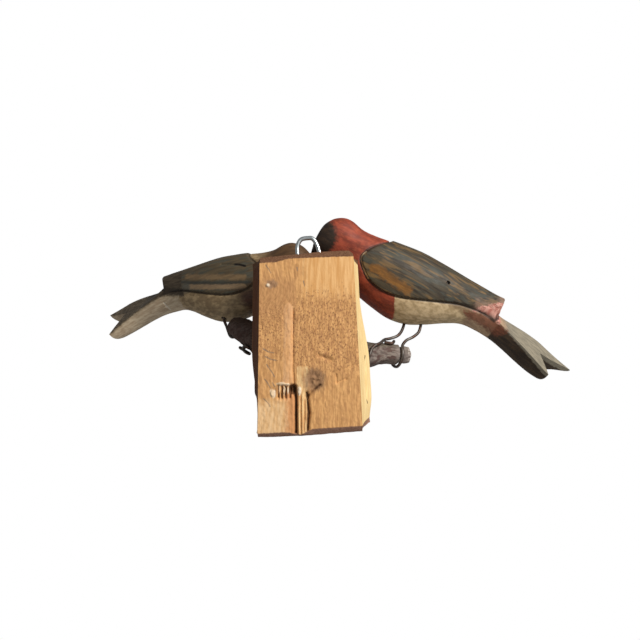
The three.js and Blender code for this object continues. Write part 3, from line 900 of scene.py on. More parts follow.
class RedBird(Bird):
    """The red bird: a dark mask, a worn wing with an ochre patch, and a broken wing corner."""

    MASK: Line = ((-25, 4), (-12.5, -6), (-9, -9), (-5, -11.5), (-1.2, -14.2), (2.6, -18), (5.4, -22),
                  (6.6, -28), (5, -38), (0, -48), (-25, -48))
    BELLY: Line = ((65.5, -30), (68.6, -41.1), (72.8, -48.2), (78.9, -55.9), (80, -75), (240, -75),
                   (240, 20), (65, 20))
    TAN_TOP: Line = ((64, -38), (80, -37.5), (96, -31.8), (110.6, -27), (118.4, -26.3), (126.1, -26.5),
                     (133, -28.9), (140, -34), (140, -80), (60, -80))
    OCHRE: Line = ((43.5, -30.8), (48.1, -29.9), (52.9, -31.5), (58.7, -32.3), (67.4, -33.2), (75.9, -33.6))
    RUMP: Line = ((126, -24.5), (130.9, -22.4), (138.2, -19.4), (146, -17), (156.6, -18.6), (168.5, -21.8),
                  (163, -28.6), (151.5, -27.4), (142.2, -26.5), (133, -27.5))
    RAW: Line = ((133, -20.8), (136.6, -14.2), (144, -9.2), (149.6, -4.5), (153, -1.2), (160, 0),
                 (158, -19), (143.3, -17.6))
    HOLE = (103.0, -11.5, 1.5)

    def damage(self, skin: Array, along: Array, across: Array, edge: Array) -> Array:
        """Splintered chips at the wing's lower rear corner, and a nail hole in the wing."""
        x, z = skin[..., 0], skin[..., 2]
        raw = smooth(-1.0, 1.2, inside(x, z, self.RAW)) * (across > 0)
        chips = np.round(2.2 * rough(skin, (6, 4, 2.6), self.seed + 9, 2)) / 2.2
        splinters = rough(skin, (5, 1.2, 1.2), self.seed + 10, 2)
        hole = np.hypot(x - self.HOLE[0], z - self.HOLE[1])
        nail = -1.8 * (1 - smooth(self.HOLE[2] - 0.7, self.HOLE[2] + 0.1, hole)) * (across > 0)
        return raw * (0.75 * chips + 0.45 * splinters) + nail

    def paint(self, skin, along, across, height, waist, breadth, edge, rise) -> dict[str, Array]:
        """Measure where the mask, belly, ochre, raw wood and tail colours lie."""
        fields = super().paint(skin, along, across, height, waist, breadth, edge, rise)
        x, z = skin[..., 0], skin[..., 2]
        wall = across > -4
        fields["mask"] = inside(x, z, self.MASK)
        fields["belly"] = inside(x, z, self.BELLY)
        # under_wing_shade: painted shade, a brown band on the belly just below the wing.
        fields["under_wing_shade"] = np.minimum(np.minimum(fields["belly"], 136 - along), -inside(x, z, self.TAN_TOP))
        fields["ochre"] = 3.6 - to_line(x, z, self.OCHRE) + 0 * edge
        fields["rump"] = inside(x, z, self.RUMP)
        fields["raw"] = np.where(wall, inside(x, z, self.RAW), -9)
        # tail: grey paint on the tail, made paler in part as painted sheen.
        fields["tail"] = along - 166
        fields["tail_root"] = np.minimum(along - 132, 6 - edge)
        # strip: painted shade, dark on the tail's underside below its waist.
        fields["strip"] = np.minimum(along - 158, (waist - height) - 0.6 - 0.05 * (along - 160))
        # hole: painted shade, near-black inside the nail hole.
        hole = np.hypot(x - self.HOLE[0], z - self.HOLE[1])
        fields["hole"] = np.where(across > 0, self.HOLE[2] - hole, -9)
        # bare_edge_and_highlight: bare wood where paint wore off the wing's front edge, and a painted highlight
        # along that rim.
        front = 3.2 - to_line(x, z, ((31.2, -24), (31.6, -30), (36, -34.8), (41, -38.6)))
        fields["bare_edge_and_highlight"] = np.minimum(0.55 - np.abs(edge + 0.15), front)
        fields["tip"] = along - 214 + 0 * edge
        return fields


class OliveBird(Bird):
    """The olive bird: brown-grey all over, with streaked wings and a pale tail side that is partly painted
    light.
    """

    OCHRE: Line = ((110.4, -8.2), (93.6, -13.1), (71.1, -19), (47.3, -24.7))
    BLUE_LINE: Line = ((126.3, -9), (94.1, -18.9), (66.9, -25.7), (42.6, -30.3))
    LOW_BAND: Line = ((107.1, -19.3), (83.5, -25.4), (60, -30.6), (49.2, -32.5))
    CORNER: Line = ((137.3, -9.1), (127.3, -15.8), (111.2, -19.1))
    SLIT: Line = ((70, -6.2), (64.7, -7.6), (57, -10), (51.1, -11.8), (45.1, -14.8))
    KNOCK: Line = ((147.9, -24.2), (146, -30.3), (147.6, -27.1))

    def damage(self, skin: Array, along: Array, across: Array, edge: Array) -> Array:
        """A drying slit in the wing and a knock on the tail root."""
        x, z = skin[..., 0], skin[..., 2]
        slit = -0.9 * bell(to_line(x, z, self.SLIT), 0.55) * (across > 0)
        knock = -0.5 * bell(to_line(x, z, self.KNOCK), 0.9) * (across > 0)
        return slit + knock

    def paint(self, skin, along, across, height, waist, breadth, edge, rise) -> dict[str, Array]:
        """Measure where the wing streaks, the breast and the tail colours lie, with painted shade on the breast
        and tail top and painted light on the tail side.
        """
        fields = super().paint(skin, along, across, height, waist, breadth, edge, rise)
        x, z = skin[..., 0], skin[..., 2]
        fields["ochre"] = 2.6 - to_line(x, z, self.OCHRE)
        fields["blue"] = 1.2 - to_line(x, z, self.BLUE_LINE)
        fields["low_band"] = 2.3 - to_line(x, z, self.LOW_BAND)
        fields["corner"] = 4.2 - to_line(x, z, self.CORNER)
        # slit: painted shade, near-black in the drying slit.
        fields["slit"] = np.minimum(1.0 - to_line(x, z, self.SLIT), 56 - along)
        fields["head"] = 30 - along + 0 * edge
        # breast: a red-brown breast darkened as the block's painted shadow.
        fields["breast"] = np.minimum(np.minimum(56 - along, -edge - 1), -27 - z)
        # Tail top: dark paint made darker as painted shade; tail side: pale paint made paler as painted light.
        fields["shaded_tail_top"] = np.minimum(along - 118, (height - waist) + 1.0)
        fields["lit_tail_side"] = np.minimum(along - 126, (waist - height) - 1.0)
        # knock: pale mark over the dent on the tail root, a painted highlight.
        fields["knock"] = np.where(across > 0, 0.8 - to_line(x, z, self.KNOCK), -9)
        return fields


# Block


@dataclass
class Block:
    """The sawn and split softwood block: rough-sawn back with knots and a torn split, hewn ends.

    Lines are (x, z) corners from the olive bird's side to the red bird's side, in mm.
    """

    thickness: float = 30.0
    olive_edge: float = 37.5
    red_edge_top: float = -32.0
    red_edge_bottom: float = -38.0
    end_chamfer: float = 4.0
    front_crown: float = 1.5
    top_end: Line = ((37.5, 64.3), (9, 67.2), (-8, 69), (-29, 70.1), (-32, 67.5))
    top_arris: Line = ((37.5, 59.4), (26, 60), (16, 62.8), (-32, 64.6))
    bottom_arris: Line = ((37.5, -64.7), (18, -63.8), (6, -65.4), (-2, -61.4), (-38, -59.2), (-47, -55.4))
    bottom_end: Line = ((37.5, -67.8), (9, -67), (-38, -63.5), (-45, -59.6))
    across: int = 150
    deep: int = 34
    tall: int = 226
    chamfer_rows: int = 8
    crack: tuple[float, float, float, float, float] = (-21.0, -8.0, -45.0, 1.6, 5.0)

    def build(self, finish: Finish) -> bpy.types.Object:
        """Make the block's surface with its relief, and dress it."""
        skin = self.surface().outward()
        obj = new_object("back_block_wood", skin, 50)
        return dress(obj, "back_block", finish)

    def plan(self, u: Array, depth: Array, rise: Array, inset: Array) -> tuple[Array, Array]:
        """Place a point in plan: x runs between the two flared sides, y from the back to the front.

        Args:
            u: share from the olive side to the red side.
            depth: share from the back to the front.
            rise: share of the height.
            inset: how far a hewn end draws in, in mm.

        Returns:
            x and y.
        """
        red_edge = mix(self.red_edge_bottom, self.red_edge_top, rise)
        olive_flare = mix(4.0, 9.0, smooth(0.1, 0.5, rise))
        red_flare = mix(10.5, 5.5, smooth(0.35, 0.8, rise)) - 2.6 * (1 - smooth(0, 0.16, rise))
        bulge = np.sin(np.pi * depth)
        olive = self.olive_edge + olive_flare * depth - inset * 0.4 * bulge
        red = red_edge - red_flare * depth + 1.2 * bulge * u + inset * 0.4 * bulge
        x = mix(olive, red, u)
        y = mix(-inset, -self.thickness - self.front_crown * np.sin(np.pi * u) * depth + inset, depth)
        return x, y

    def ring(self) -> tuple[Array, Array]:
        """Share across and share deep of each column, once round the block."""
        u = np.linspace(0, 1, self.across)
        depth = np.linspace(0, 1, self.deep)[1:-1]
        ones, zeros = np.ones(len(depth)), np.zeros(len(depth))
        around_u = np.concatenate([u, ones, u[::-1], zeros])
        around_depth = np.concatenate([np.zeros(len(u)), depth, np.ones(len(u)), depth[::-1]])
        return around_u, around_depth

    def surface(self) -> Skin:
        """Loft the sides row by row, and close both ends by grids."""
        u, depth = self.ring()
        share = np.linspace(0, 1, self.tall)
        rise = 0.03 + 0.94 * share
        x, y = self.plan(u[None, :], depth[None, :], rise[:, None], np.zeros((self.tall, 1)))
        low, high = along_line(self.bottom_arris, x), along_line(self.top_arris, x)
        z = mix(low, high, share[:, None])
        middle = np.stack([x, y, z], -1)
        ends = []
        for end_rise, line, edge in ((0.0, self.bottom_end, middle[0]), (1.0, self.top_end, middle[-1])):
            inset = np.full(u.shape, self.end_chamfer)
            ex, ey = self.plan(u, depth, np.full(u.shape, end_rise), inset)
            tip = np.stack([ex, ey, along_line(line, ex)], -1)
            t = np.linspace(0, 1, self.chamfer_rows + 1)[1:, None, None]
            bow = np.sin(np.pi * t) * 0.35
            lifted = mix(edge[None], tip[None], t)
            lifted[..., 2] += bow[..., 0] * (1 if end_rise else -1)
            ends.append(lifted)
        grid = np.concatenate([ends[0][::-1], middle, ends[1]])
        rows, columns = grid.shape[:2]
        points = [grid.reshape(-1, 3)]
        quads = [round_quads(rows, columns)]
        count = rows * columns
        for row, line, end_rise in ((0, self.bottom_end, 0.0), (rows - 1, self.top_end, 1.0)):
            numbers, inner, count = self.end_grid(row * columns, line, end_rise, count)
            points.append(inner)
            quads.append(numbers if row else numbers[:, ::-1])
        flat = np.vstack(points)
        flat, fields = self.carved(flat)
        return Skin(flat, np.vstack(quads), np.empty((0, 3), int), fields)

    def end_grid(self, first: int, line: Line, rise: float, count: int) -> tuple[Array, Array, int]:
        """Fill a hewn end with a grid whose rim is the last ring.

        Args:
            first: number of the ring's first point.
            line: height of the end over x.
            rise: share of the height.
            count: number of points so far.

        Returns:
            The faces, the new inner points and the new number of points.
        """
        wide, deep = self.across, self.deep
        numbers = np.empty((deep, wide), int)
        ring = first + np.arange(2 * wide + 2 * (deep - 2))
        numbers[0] = ring[:wide]
        numbers[1:-1, -1] = ring[wide : wide + deep - 2]
        numbers[-1, ::-1] = ring[wide + deep - 2 : 2 * wide + deep - 2]
        numbers[1:-1, 0] = ring[2 * wide + deep - 2 :][::-1]
        inner = (deep - 2) * (wide - 2)
        numbers[1:-1, 1:-1] = count + np.arange(inner).reshape(deep - 2, wide - 2)
        u, depth = np.meshgrid(np.linspace(0, 1, wide)[1:-1], np.linspace(0, 1, deep)[1:-1])
        inset = np.full(u.shape, self.end_chamfer)
        x, y = self.plan(u, depth, np.full(u.shape, rise), inset)
        points = np.stack([x, y, along_line(line, x)], -1).reshape(-1, 3)
        a, b, c, d = numbers[:-1, :-1], numbers[:-1, 1:], numbers[1:, 1:], numbers[1:, :-1]
        return np.stack([a, b, c, d], -1).reshape(-1, 4), points, count + inner

    def carved(self, points: Array) -> tuple[Array, dict[str, Array]]:
        """Sink and raise the relief, and measure the fields for the finish.

        Args:
            points: smooth points of the block.

        Returns:
            The carved points, and the fields.
        """
        x, y, z = points.T
        low, high = along_line(self.bottom_arris, x), along_line(self.top_arris, x)
        back = (y > -0.3) & (z > low - 0.2) & (z < high + 0.2)
        facing = smooth(-0.6, 0.0, y) * smooth(-1.5, 1.0, z - low) * smooth(-1.5, 1.0, high - z)
        height = BackFace().relief(x, z)
        moved = points.copy()
        moved[:, 1] += height * facing
        red_edge = mix(self.red_edge_bottom, self.red_edge_top, (z + 64) / 128)
        red_side = (x < red_edge + 0.15) & (y < -0.2)
        moved[:, 0] += np.where(red_side & ~back, self.side_relief(y, z), 0)
        ends = np.maximum(z - high, low - z)
        hewn = smooth(0.3, 2.0, ends)
        moved[:, 2] += hewn * 0.35 * rough(points, (5, 3, 5), 71, 3) * np.sign(z)
        front = smooth(-self.thickness + 0.4, -self.thickness - 0.1, y)
        moved[:, 1] += front * 0.3 * (rough(points, (2, 3, 18), 77, 3) - 0.6)
        olive_side = (x > self.olive_edge + 0.05) & (y < -0.2) & (y > -self.thickness)
        moved[:, 0] += np.where(olive_side, 0.35 * rough(points, (3, 2, 15), 79, 3), 0)
        fields = BackFace().fields(x, z)
        on_back = np.where(back, 1, -1)
        fields = {name: np.where(on_back > 0, values, np.minimum(values, -9.0)) if name != "pattern"
                  else values for name, values in fields.items()}
        fields["pattern"] = np.where(back[:, None], fields["pattern"], np.stack([z, x, y], -1))
        fields["stain_top"] = z - high
        fields["stain_low"] = low - z
        fields["side"] = np.where(red_side, 2.0, -2.0)
        # shaded_olive_side: painted shade, dark red-brown on the side away from the light.
        fields["shaded_olive_side"] = np.where(olive_side, 2.0, -2.0)
        crack_y = self.crack_line(z)
        reach = np.minimum(self.crack[1] - z, z - self.crack[2])
        # crack: painted shade, dark inside the drying crack.
        fields["crack"] = np.where(red_side, np.minimum(0.7 - np.abs(y - crack_y), reach), -9)
        return moved, fields

    def crack_line(self, z: Array) -> Array:
        """Depth of the drying crack's middle at each height."""
        return self.crack[0] + 0.8 * np.sin(z / 7.0) + 0.4 * np.sin(z / 2.3)

    def side_relief(self, y: Array, z: Array) -> Array:
        """Split fibres of the red side and its drying crack, in mm outwards to -X."""
        spot = np.stack([y, 0 * y, z], -1)
        fibres = 0.35 * rough(spot, (1.6, 1, 22), 61, 3)
        reach = smooth(0, 10, self.crack[1] - z) * smooth(0, 10, z - self.crack[2])
        crack = 4.0 * bell(y - self.crack_line(z), 0.9) * reach
        return fibres + crack


class BackFace:
    """Relief and stains of the block's rough back, over x and z in mm. Relief is positive outwards."""

    GROOVE: Line = ((12.5, 25), (12.6, 5), (12.2, -20), (11.4, -31))
    STRIP: Line = ((16, 27), (16.2, 0), (16, -27))
    STRIP_EDGE: Line = ((19.4, 27), (19.6, 0), (19.2, -27))
    SPLIT_LEFT: Line = ((10.6, -31), (9.9, -45), (9.9, -64))
    SPLIT_RIGHT: Line = ((2.4, -36), (0.9, -50), (1.8, -64))
    TEAR = (19.0, -35.5, 9.5, 6.5)
    PIT = (12.9, -33.2, 3.3, 4.4)
    KNOT = (-3.2, -26.5, 7.0, 7.2)
    DIAGONAL: Line = ((-7.2, -30.2), (-2.0, -34.6), (1.6, -38.5))
    GOUGE: Line = ((-6.8, -9.0), (-15.2, -12.0))
    HOOK: Line = ((-18.7, -22.5), (-19.6, -28.6), (-26.3, -25.8))
    SCORE: Line = ((-16.7, -21.6), (-25, -18.4), (-34.9, -15.1))
    SMALL_KNOT = (28.5, 43.6)
    CHIPS: tuple[tuple[float, float, float, float], ...] = (
        (26.8, -36.2, 2.1, 3.0), (20.5, -29.4, 3.6, 1.2), (16.6, -29.8, 2.2, 1.0), (22.4, -33.6, 0.8, 3.2),
        (18.6, -34.2, 0.8, 3.4), (15.9, -33.9, 0.7, 3.0), (31.2, 42.8, 1.6, 1.5), (7.5, -34.5, 1.5, 3.0),
    )
    SCRIBBLES: tuple[Line, ...] = (
        ((32.7, 58), (30.4, 54.6), (29.0, 52)),
        ((34, -4), (30.5, -6.2), (26.5, -7)),
        ((32.8, -9.5), (29, -11.6), (24.6, -12.4)),
        ((31.6, -15.4), (28.4, -19.6), (25.6, -24.4)),
        ((33.2, -26), (30.4, -28.8), (28.6, -32.4)),
        ((27, -28.6), (25.2, -31.6)),
        ((33.6, -40), (30.6, -42.4), (28.6, -45.6)),
        ((9.7, 56.4), (9.2, 53.6)),
        ((4.8, 46.0), (4.2, 42.0)),
    )

    @staticmethod
    def spot(x: Array, z: Array) -> Array:
        """Flat points as noise positions."""
        return np.stack([x, 0 * x, z], -1)

    def oval(self, x: Array, z: Array, shape: tuple[float, float, float, float]) -> Array:
        """Distance to an oval's middle over its size: 1 on its rim."""
        cx, cz, rx, rz = shape
        return np.hypot((x - cx) / rx, (z - cz) / rz)

    def roughness(self, x: Array, z: Array) -> Array:
        """How torn the sawn fibres are: little at the clean upper right, most in the middle."""
        clean = smooth(30, 44, z) * smooth(8, 0, x)
        return 1 - 0.75 * clean

    def relief(self, x: Array, z: Array) -> Array:
        """Add up sawn waves, torn fibres, the split strip, the knots, the tear and the gouges."""
        spot = self.spot(x, z)
        torn = self.roughness(x, z)
        waves = 0.12 * rough(spot, (14, 1, 30), 11, 2)
        fibres = 0.2 * torn * rough(spot, (1.3, 1, 5.5), 13, 3)
        fuzz = 0.24 * torn * rough(spot, (1.5, 1, 1.9), 17, 2)
        height = waves + fibres + fuzz
        height -= 1.1 * bell(to_line(x, z, self.GROOVE), 0.75)
        height += 0.5 * bell(to_line(x, z, self.STRIP), 3.0) - 0.25 * bell(to_line(x, z, self.STRIP_EDGE), 0.5)
        tear = self.oval(x, z, self.TEAR)
        ridges = np.sin(x * 2.1 + 1.5 * rough(spot, (3, 1, 9), 23, 2))
        height -= (1 - smooth(0.55, 1.05, tear)) * (1.3 - 0.9 * ridges)
        height -= 3.6 * (1 - smooth(0.4, 1.1, self.oval(x, z, self.PIT)))
        knot = self.oval(x, z, self.KNOT)
        twist = np.sin(7 * knot + 2.5 * np.arctan2(z + 26.5, x + 3.2) + 2 * rough(spot, 4.0, 29, 2))
        height -= (1 - smooth(0.4, 1.15, knot)) * (0.8 + 0.45 * twist)
        for line, width, depth in ((self.SPLIT_LEFT, 1.1, 3.2), (self.SPLIT_RIGHT, 1.2, 2.8),
                                   (self.DIAGONAL, 1.1, 1.8), (self.GOUGE, 1.3, 1.3), (self.HOOK, 0.8, 0.9),
                                   (self.SCORE, 0.9, 0.35)):
            height -= depth * bell(to_line(x, z, line), width)
        column = smooth(-34, -40, z) * smooth(1.5, 3.0, x) * smooth(10.0, 8.4, x)
        combed = np.sin((x - 2.0) * 2.4 + 0.8 * rough(spot, (4, 1, 22), 31, 2))
        height += column * (0.3 + 0.8 * combed)
        warm = smooth(-36, -40, z) * smooth(9, 11, x) * smooth(18.5, 16, x)
        height += warm * 0.6 * rough(spot, (1.6, 1, 12), 37, 2)
        height += 0.7 * bell(self.oval(x, z, (*self.SMALL_KNOT, 3.4, 2.6)), 0.8) * rough(spot, 2.0, 41, 2)
        for chip in self.CHIPS:
            height += 1.1 * (1 - smooth(0.5, 1.0, self.oval(x, z, chip)))
        return np.minimum(height, 1.3)

    def fields(self, x: Array, z: Array) -> dict[str, Array]:
        """Measure the clean, speckled, warm and pale areas, the painted shade in the hollows, chips and pencil
        strokes.
        """
        spot = self.spot(x, z)
        turn_round = bell(self.oval(x, z, (28, 34, 14, 15)), 1.0)
        swirl = x + 7 * turn_round * np.sin((z - 30) / 9) + 3 * bell(self.oval(x, z, (*self.KNOT[:2], 9, 10)), 1)
        height = self.relief(x, z)
        pencil = np.min([to_line(x + 0.5 * rough(spot, 3, 51), z, line) for line in self.SCRIBBLES], axis=0)
        chips = np.max([1 - self.oval(x, z, chip) for chip in self.CHIPS], axis=0)
        return {
            "pattern": np.stack([z + 0.45 * swirl * turn_round, swirl, 0.6 * height], -1),
            "clean": np.minimum(z - 34, 5 - x),
            "speckle": np.minimum(36 - z, z + 20) * 0.4 + smooth(14, 8, x) * 4 - 4,
            "swirl": np.minimum(x - 11, 7 - np.abs(z - 34) * 0.5),
            "warm": np.minimum(np.minimum(18 - x, x - 9.5), -35 - z),
            "pale_low": np.minimum(x - 17, -42 - z),
            "column": np.minimum(np.minimum(9.2 - x, x - 1.6), -17 - z),
            "strip": 3.4 - np.abs(x - 16) + np.minimum(0, np.minimum(27 - z, z + 30)),
            # hollow_shade: painted shade, darker where the relief sinks deeper.
            "hollow_shade": -height - 1.5,
            "knot": (1.15 - self.oval(x, z, self.KNOT)) * 6,
            "small_knot": (1 - self.oval(x, z, (*self.SMALL_KNOT, 4.2, 3.0))) * 3,
            "chip": chips * 2,
            "pencil": 0.42 - pencil,
        }


# Branch and wires


@dataclass(frozen=True)
class Arm:
    """One arm of the branch: a middle line with a radius at each point, in mm."""

    points: tuple[tuple[float, float, float], ...]
    radii: tuple[float, ...]

    def radius(self, share: Array) -> Array:
        """Ease from each point's radius to the next one's."""
        place = share * (len(self.radii) - 1)
        low = np.minimum(place.astype(int), len(self.radii) - 2)
        radii = np.array(self.radii)
        return mix(radii[low], radii[low + 1], smooth(0, 1, place - low))

    def frame_at(self, share: Array) -> tuple[Array, Array, Array]:
        """Middle point and the two round directions at each share of the arm."""
        fine = catmull_rom(np.array(self.points), 4001)
        tangents = np.gradient(fine, axis=0)
        at = np.clip(np.round(share * 4000).astype(int), 0, 4000)
        ahead = tangents[at] / np.linalg.norm(tangents[at], axis=-1, keepdims=True)
        across = np.cross([0.0, 1.0, 0.0], ahead)
        across /= np.linalg.norm(across, axis=-1, keepdims=True)
        return fine[at], across, np.cross(ahead, across)

    def around(self, share: Array, turn: Array, distance: Array) -> Array:
        """Point at a distance from the middle line; turn 90 degrees is the wall's side."""
        centre, across, up = self.frame_at(share)
        return centre + (distance * np.cos(turn))[..., None] * across + (distance * np.sin(turn))[..., None] * up

    def loft(self, rows: int, columns: int) -> Skin:
        """Loft the arm as rings of its radius times (1 + ridge height times a wave round it)."""
        share, turn = np.meshgrid(np.linspace(0, 1, rows), np.linspace(0, 2 * np.pi, columns, endpoint=False),
                                  indexing="ij")
        knobbly = 1 + 0.05 * np.sin(5 * turn + 7 * share)
        grid = self.around(share, turn, self.radius(share) * knobbly)
        points = np.vstack([grid.reshape(-1, 3), grid[0].mean(0), grid[-1].mean(0)])
        first = fan(np.arange(columns), rows * columns, True)
        last = fan(np.arange(columns) + (rows - 1) * columns, rows * columns + 1, False)
        return Skin(points, round_quads(rows, columns), np.vstack([first, last]), {}).outward()


STEM = Arm(
    ((33, -43, -44), (33.5, -43.5, -34), (32.5, -43.5, -20), (32, -44, -6), (31, -45, 4)),
    (10.2, 12, 13.4, 15.2, 13),
)
OLIVE_ARM = Arm(
    ((31, -44, -5), (41, -48, 5), (50, -52, 9.4), (57, -55.5, 13.2), (63.5, -58.5, 17), (68.4, -60, 20)),
    (13, 12.8, 11.4, 10.4, 8.6, 6),
)
RED_ARM = Arm(
    ((28, -44, -6), (8, -44, -5), (-14, -45, -6), (-36, -47, -7), (-48, -49, -7), (-56, -50.5, -6),
     (-64, -52, -5.8), (-70.5, -53.2, -6.6), (-73, -53.8, -6.8), (-77, -54.5, -7), (-81.5, -55.5, -7)),
    (13.5, 12.5, 11.6, 11.4, 10.4, 9, 8.7, 8.6, 6.5, 7.2, 6.6),
)


@dataclass
class Branch:
    """The forked natural branch with its bark, sawn flat where it meets the block."""

    seat: float = -31.8
    voxel: float = 0.55
    bark_depth: float = 0.32

    def build(self, finish: Finish) -> bpy.types.Object:
        """Melt the three arms into one skin, roughen it as bark, and dress it."""
        arms = STEM.loft(60, 60).joined(OLIVE_ARM.loft(60, 60)).joined(RED_ARM.loft(120, 60))
        arms.fields = {}
        raw = new_object("branch_bark", arms, 60)
        remesh = raw.modifiers.new("melt", "REMESH")
        remesh.mode = "VOXEL"
        remesh.voxel_size = self.voxel * MM
        graph = bpy.context.evaluated_depsgraph_get()
        melted = bpy.data.meshes.new_from_object(raw.evaluated_get(graph))
        raw.modifiers.clear()
        raw.data = melted
        self.roughen(melted)
        melted.shade_smooth()
        melted.set_sharp_from_angle(angle=math.radians(60))
        return dress(raw, "branch", finish)

    def roughen(self, mesh: bpy.types.Mesh) -> None:
        """Move the skin along its normals by bark noise, flatten the seat, and store the fields."""
        count = len(mesh.vertices)
        points = np.empty(count * 3, np.float32)
        normals = np.empty(count * 3, np.float32)
        mesh.vertices.foreach_get("co", points)
        mesh.vertices.foreach_get("normal", normals)
        points = points.reshape(-1, 3).astype(float) / MM
        normals = normals.reshape(-1, 3)
        along, apart = self.nearest(points)
        pattern = np.stack([along, points[:, 1] * 1.0, points[:, 2]], -1)
        bark = rough(points, (9, 3.2, 3.2), 83, 3) + 0.6 * np.abs(rough(points, 2.6, 87, 2))
        rings = 0.5 * bell(np.mod(along + 2.5 * rough(points, 9, 89), 11) - 5.5, 0.7)
        points = points + normals * (self.bark_depth * (bark - 0.5) + 0.3 * rings)[:, None]
        sawn = points[:, 1] > self.seat
        points[:, 1] = np.minimum(points[:, 1], self.seat)
        mesh.vertices.foreach_set("co", (points * MM).ravel().astype(np.float32))
        mesh.update()
        fields = {
            "pattern": pattern,
            "sawn": np.where(sawn, 2.0, -2.0),
            "knob": -69.5 - points[:, 0],
            "cut_end": -80.6 - points[:, 0],
            "shade_towards_olive_side": np.minimum(points[:, 0] - 12, 60.0),
            # shade_towards_olive_side: painted shade, darker on the stem and the olive arm.
            "near_block": points[:, 0] + 50,
            # top: painted shade, darker greenish grey on the upper sides of the arms.
            "top": normals[:, 2] * 4 - 1.6,
        }
        write_fields(mesh, fields)

    def nearest(self, points: Array) -> tuple[Array, Array]:
        """Length along the nearest arm, and the distance to its middle line."""
        best = np.full(len(points), np.inf)
        along = np.zeros(len(points))
        for arm, start in ((STEM, 0.0), (OLIVE_ARM, 80.0), (RED_ARM, 160.0)):
            line = evenly(catmull_rom(np.array(arm.points), 400), 90)
            length = np.linspace(0, np.linalg.norm(np.diff(line, axis=0), axis=1).sum(), 90)
            gaps = np.linalg.norm(points[:, None] - line[None], axis=-1)
            nearest = gaps.argmin(1)
            gap = gaps[np.arange(len(points)), nearest]
            closer = gap < best
            best = np.where(closer, gap, best)
            along = np.where(closer, start + length[nearest], along)
        return along, best


class ArmName(Enum):
    """The arm that a leg's wire is wound round."""

    OLIVE = "olive"
    RED = "red"

    @property
    def arm(self) -> Arm:
        """The arm itself."""
        return OLIVE_ARM if self is ArmName.OLIVE else RED_ARM


@dataclass
class Leg:
    """One bent iron wire: straight in its socket, then down, and wound round an arm.

    turns are (share of the arm, degrees round it, lift off the bark in mm).
    """

    name: str
    socket: tuple[tuple[float, float, float], tuple[float, float, float]]
    line: tuple[tuple[float, float, float], ...]
    arm: ArmName
    turns: tuple[tuple[float, float, float], ...]
    end: tuple[tuple[float, float, float], ...] = ()
    wire: float = 2.5
    gap: float = 0.3

    def build(self, finish: Finish) -> bpy.types.Object:
        """Sweep the wire along its path, and dress it."""
        share, degrees, lift = np.array(self.turns).T
        distance = self.arm.arm.radius(share) * 1.05 + self.gap + self.wire / 2 + lift
        wound = self.arm.arm.around(share, np.radians(degrees), distance)
        top, leaving = np.array(self.socket)
        parts = [top, (top + leaving) / 2, leaving, *np.array(self.line), *wound]
        if self.end:
            parts.extend(np.array(self.end))
        path = evenly(catmull_rom(np.array(parts), 1200), 260)
        radius = np.full(260, self.wire / 2)
        skin = tube(path, radius, 20, 91, 0.05)
        return dress(new_object(self.name + "_wire", skin, 50), self.name, finish)


@dataclass
class Staple:
    """The bent zinc-plated staple that the piece hangs by."""

    wire: float = 3.4
    y: float = -14.0
    line: Line = ((8.8, 54), (9.6, 66), (10, 76), (7.4, 81), (2, 82.2), (-1, 82), (-4.2, 78.4), (-7.4, 68),
                  (-10.6, 54))

    def build(self, finish: Finish) -> bpy.types.Object:
        """Sweep the wire along the staple's line, and dress it."""
        path = np.array([(x, self.y, z) for x, z in self.line])
        even = evenly(catmull_rom(path, 1200), 220)
        skin = tube(even, np.full(220, self.wire / 2), 32, 93, 0.04)
        return dress(new_object("hanging_staple_wire", skin, 50), "hanging_staple", finish)


# Finishes

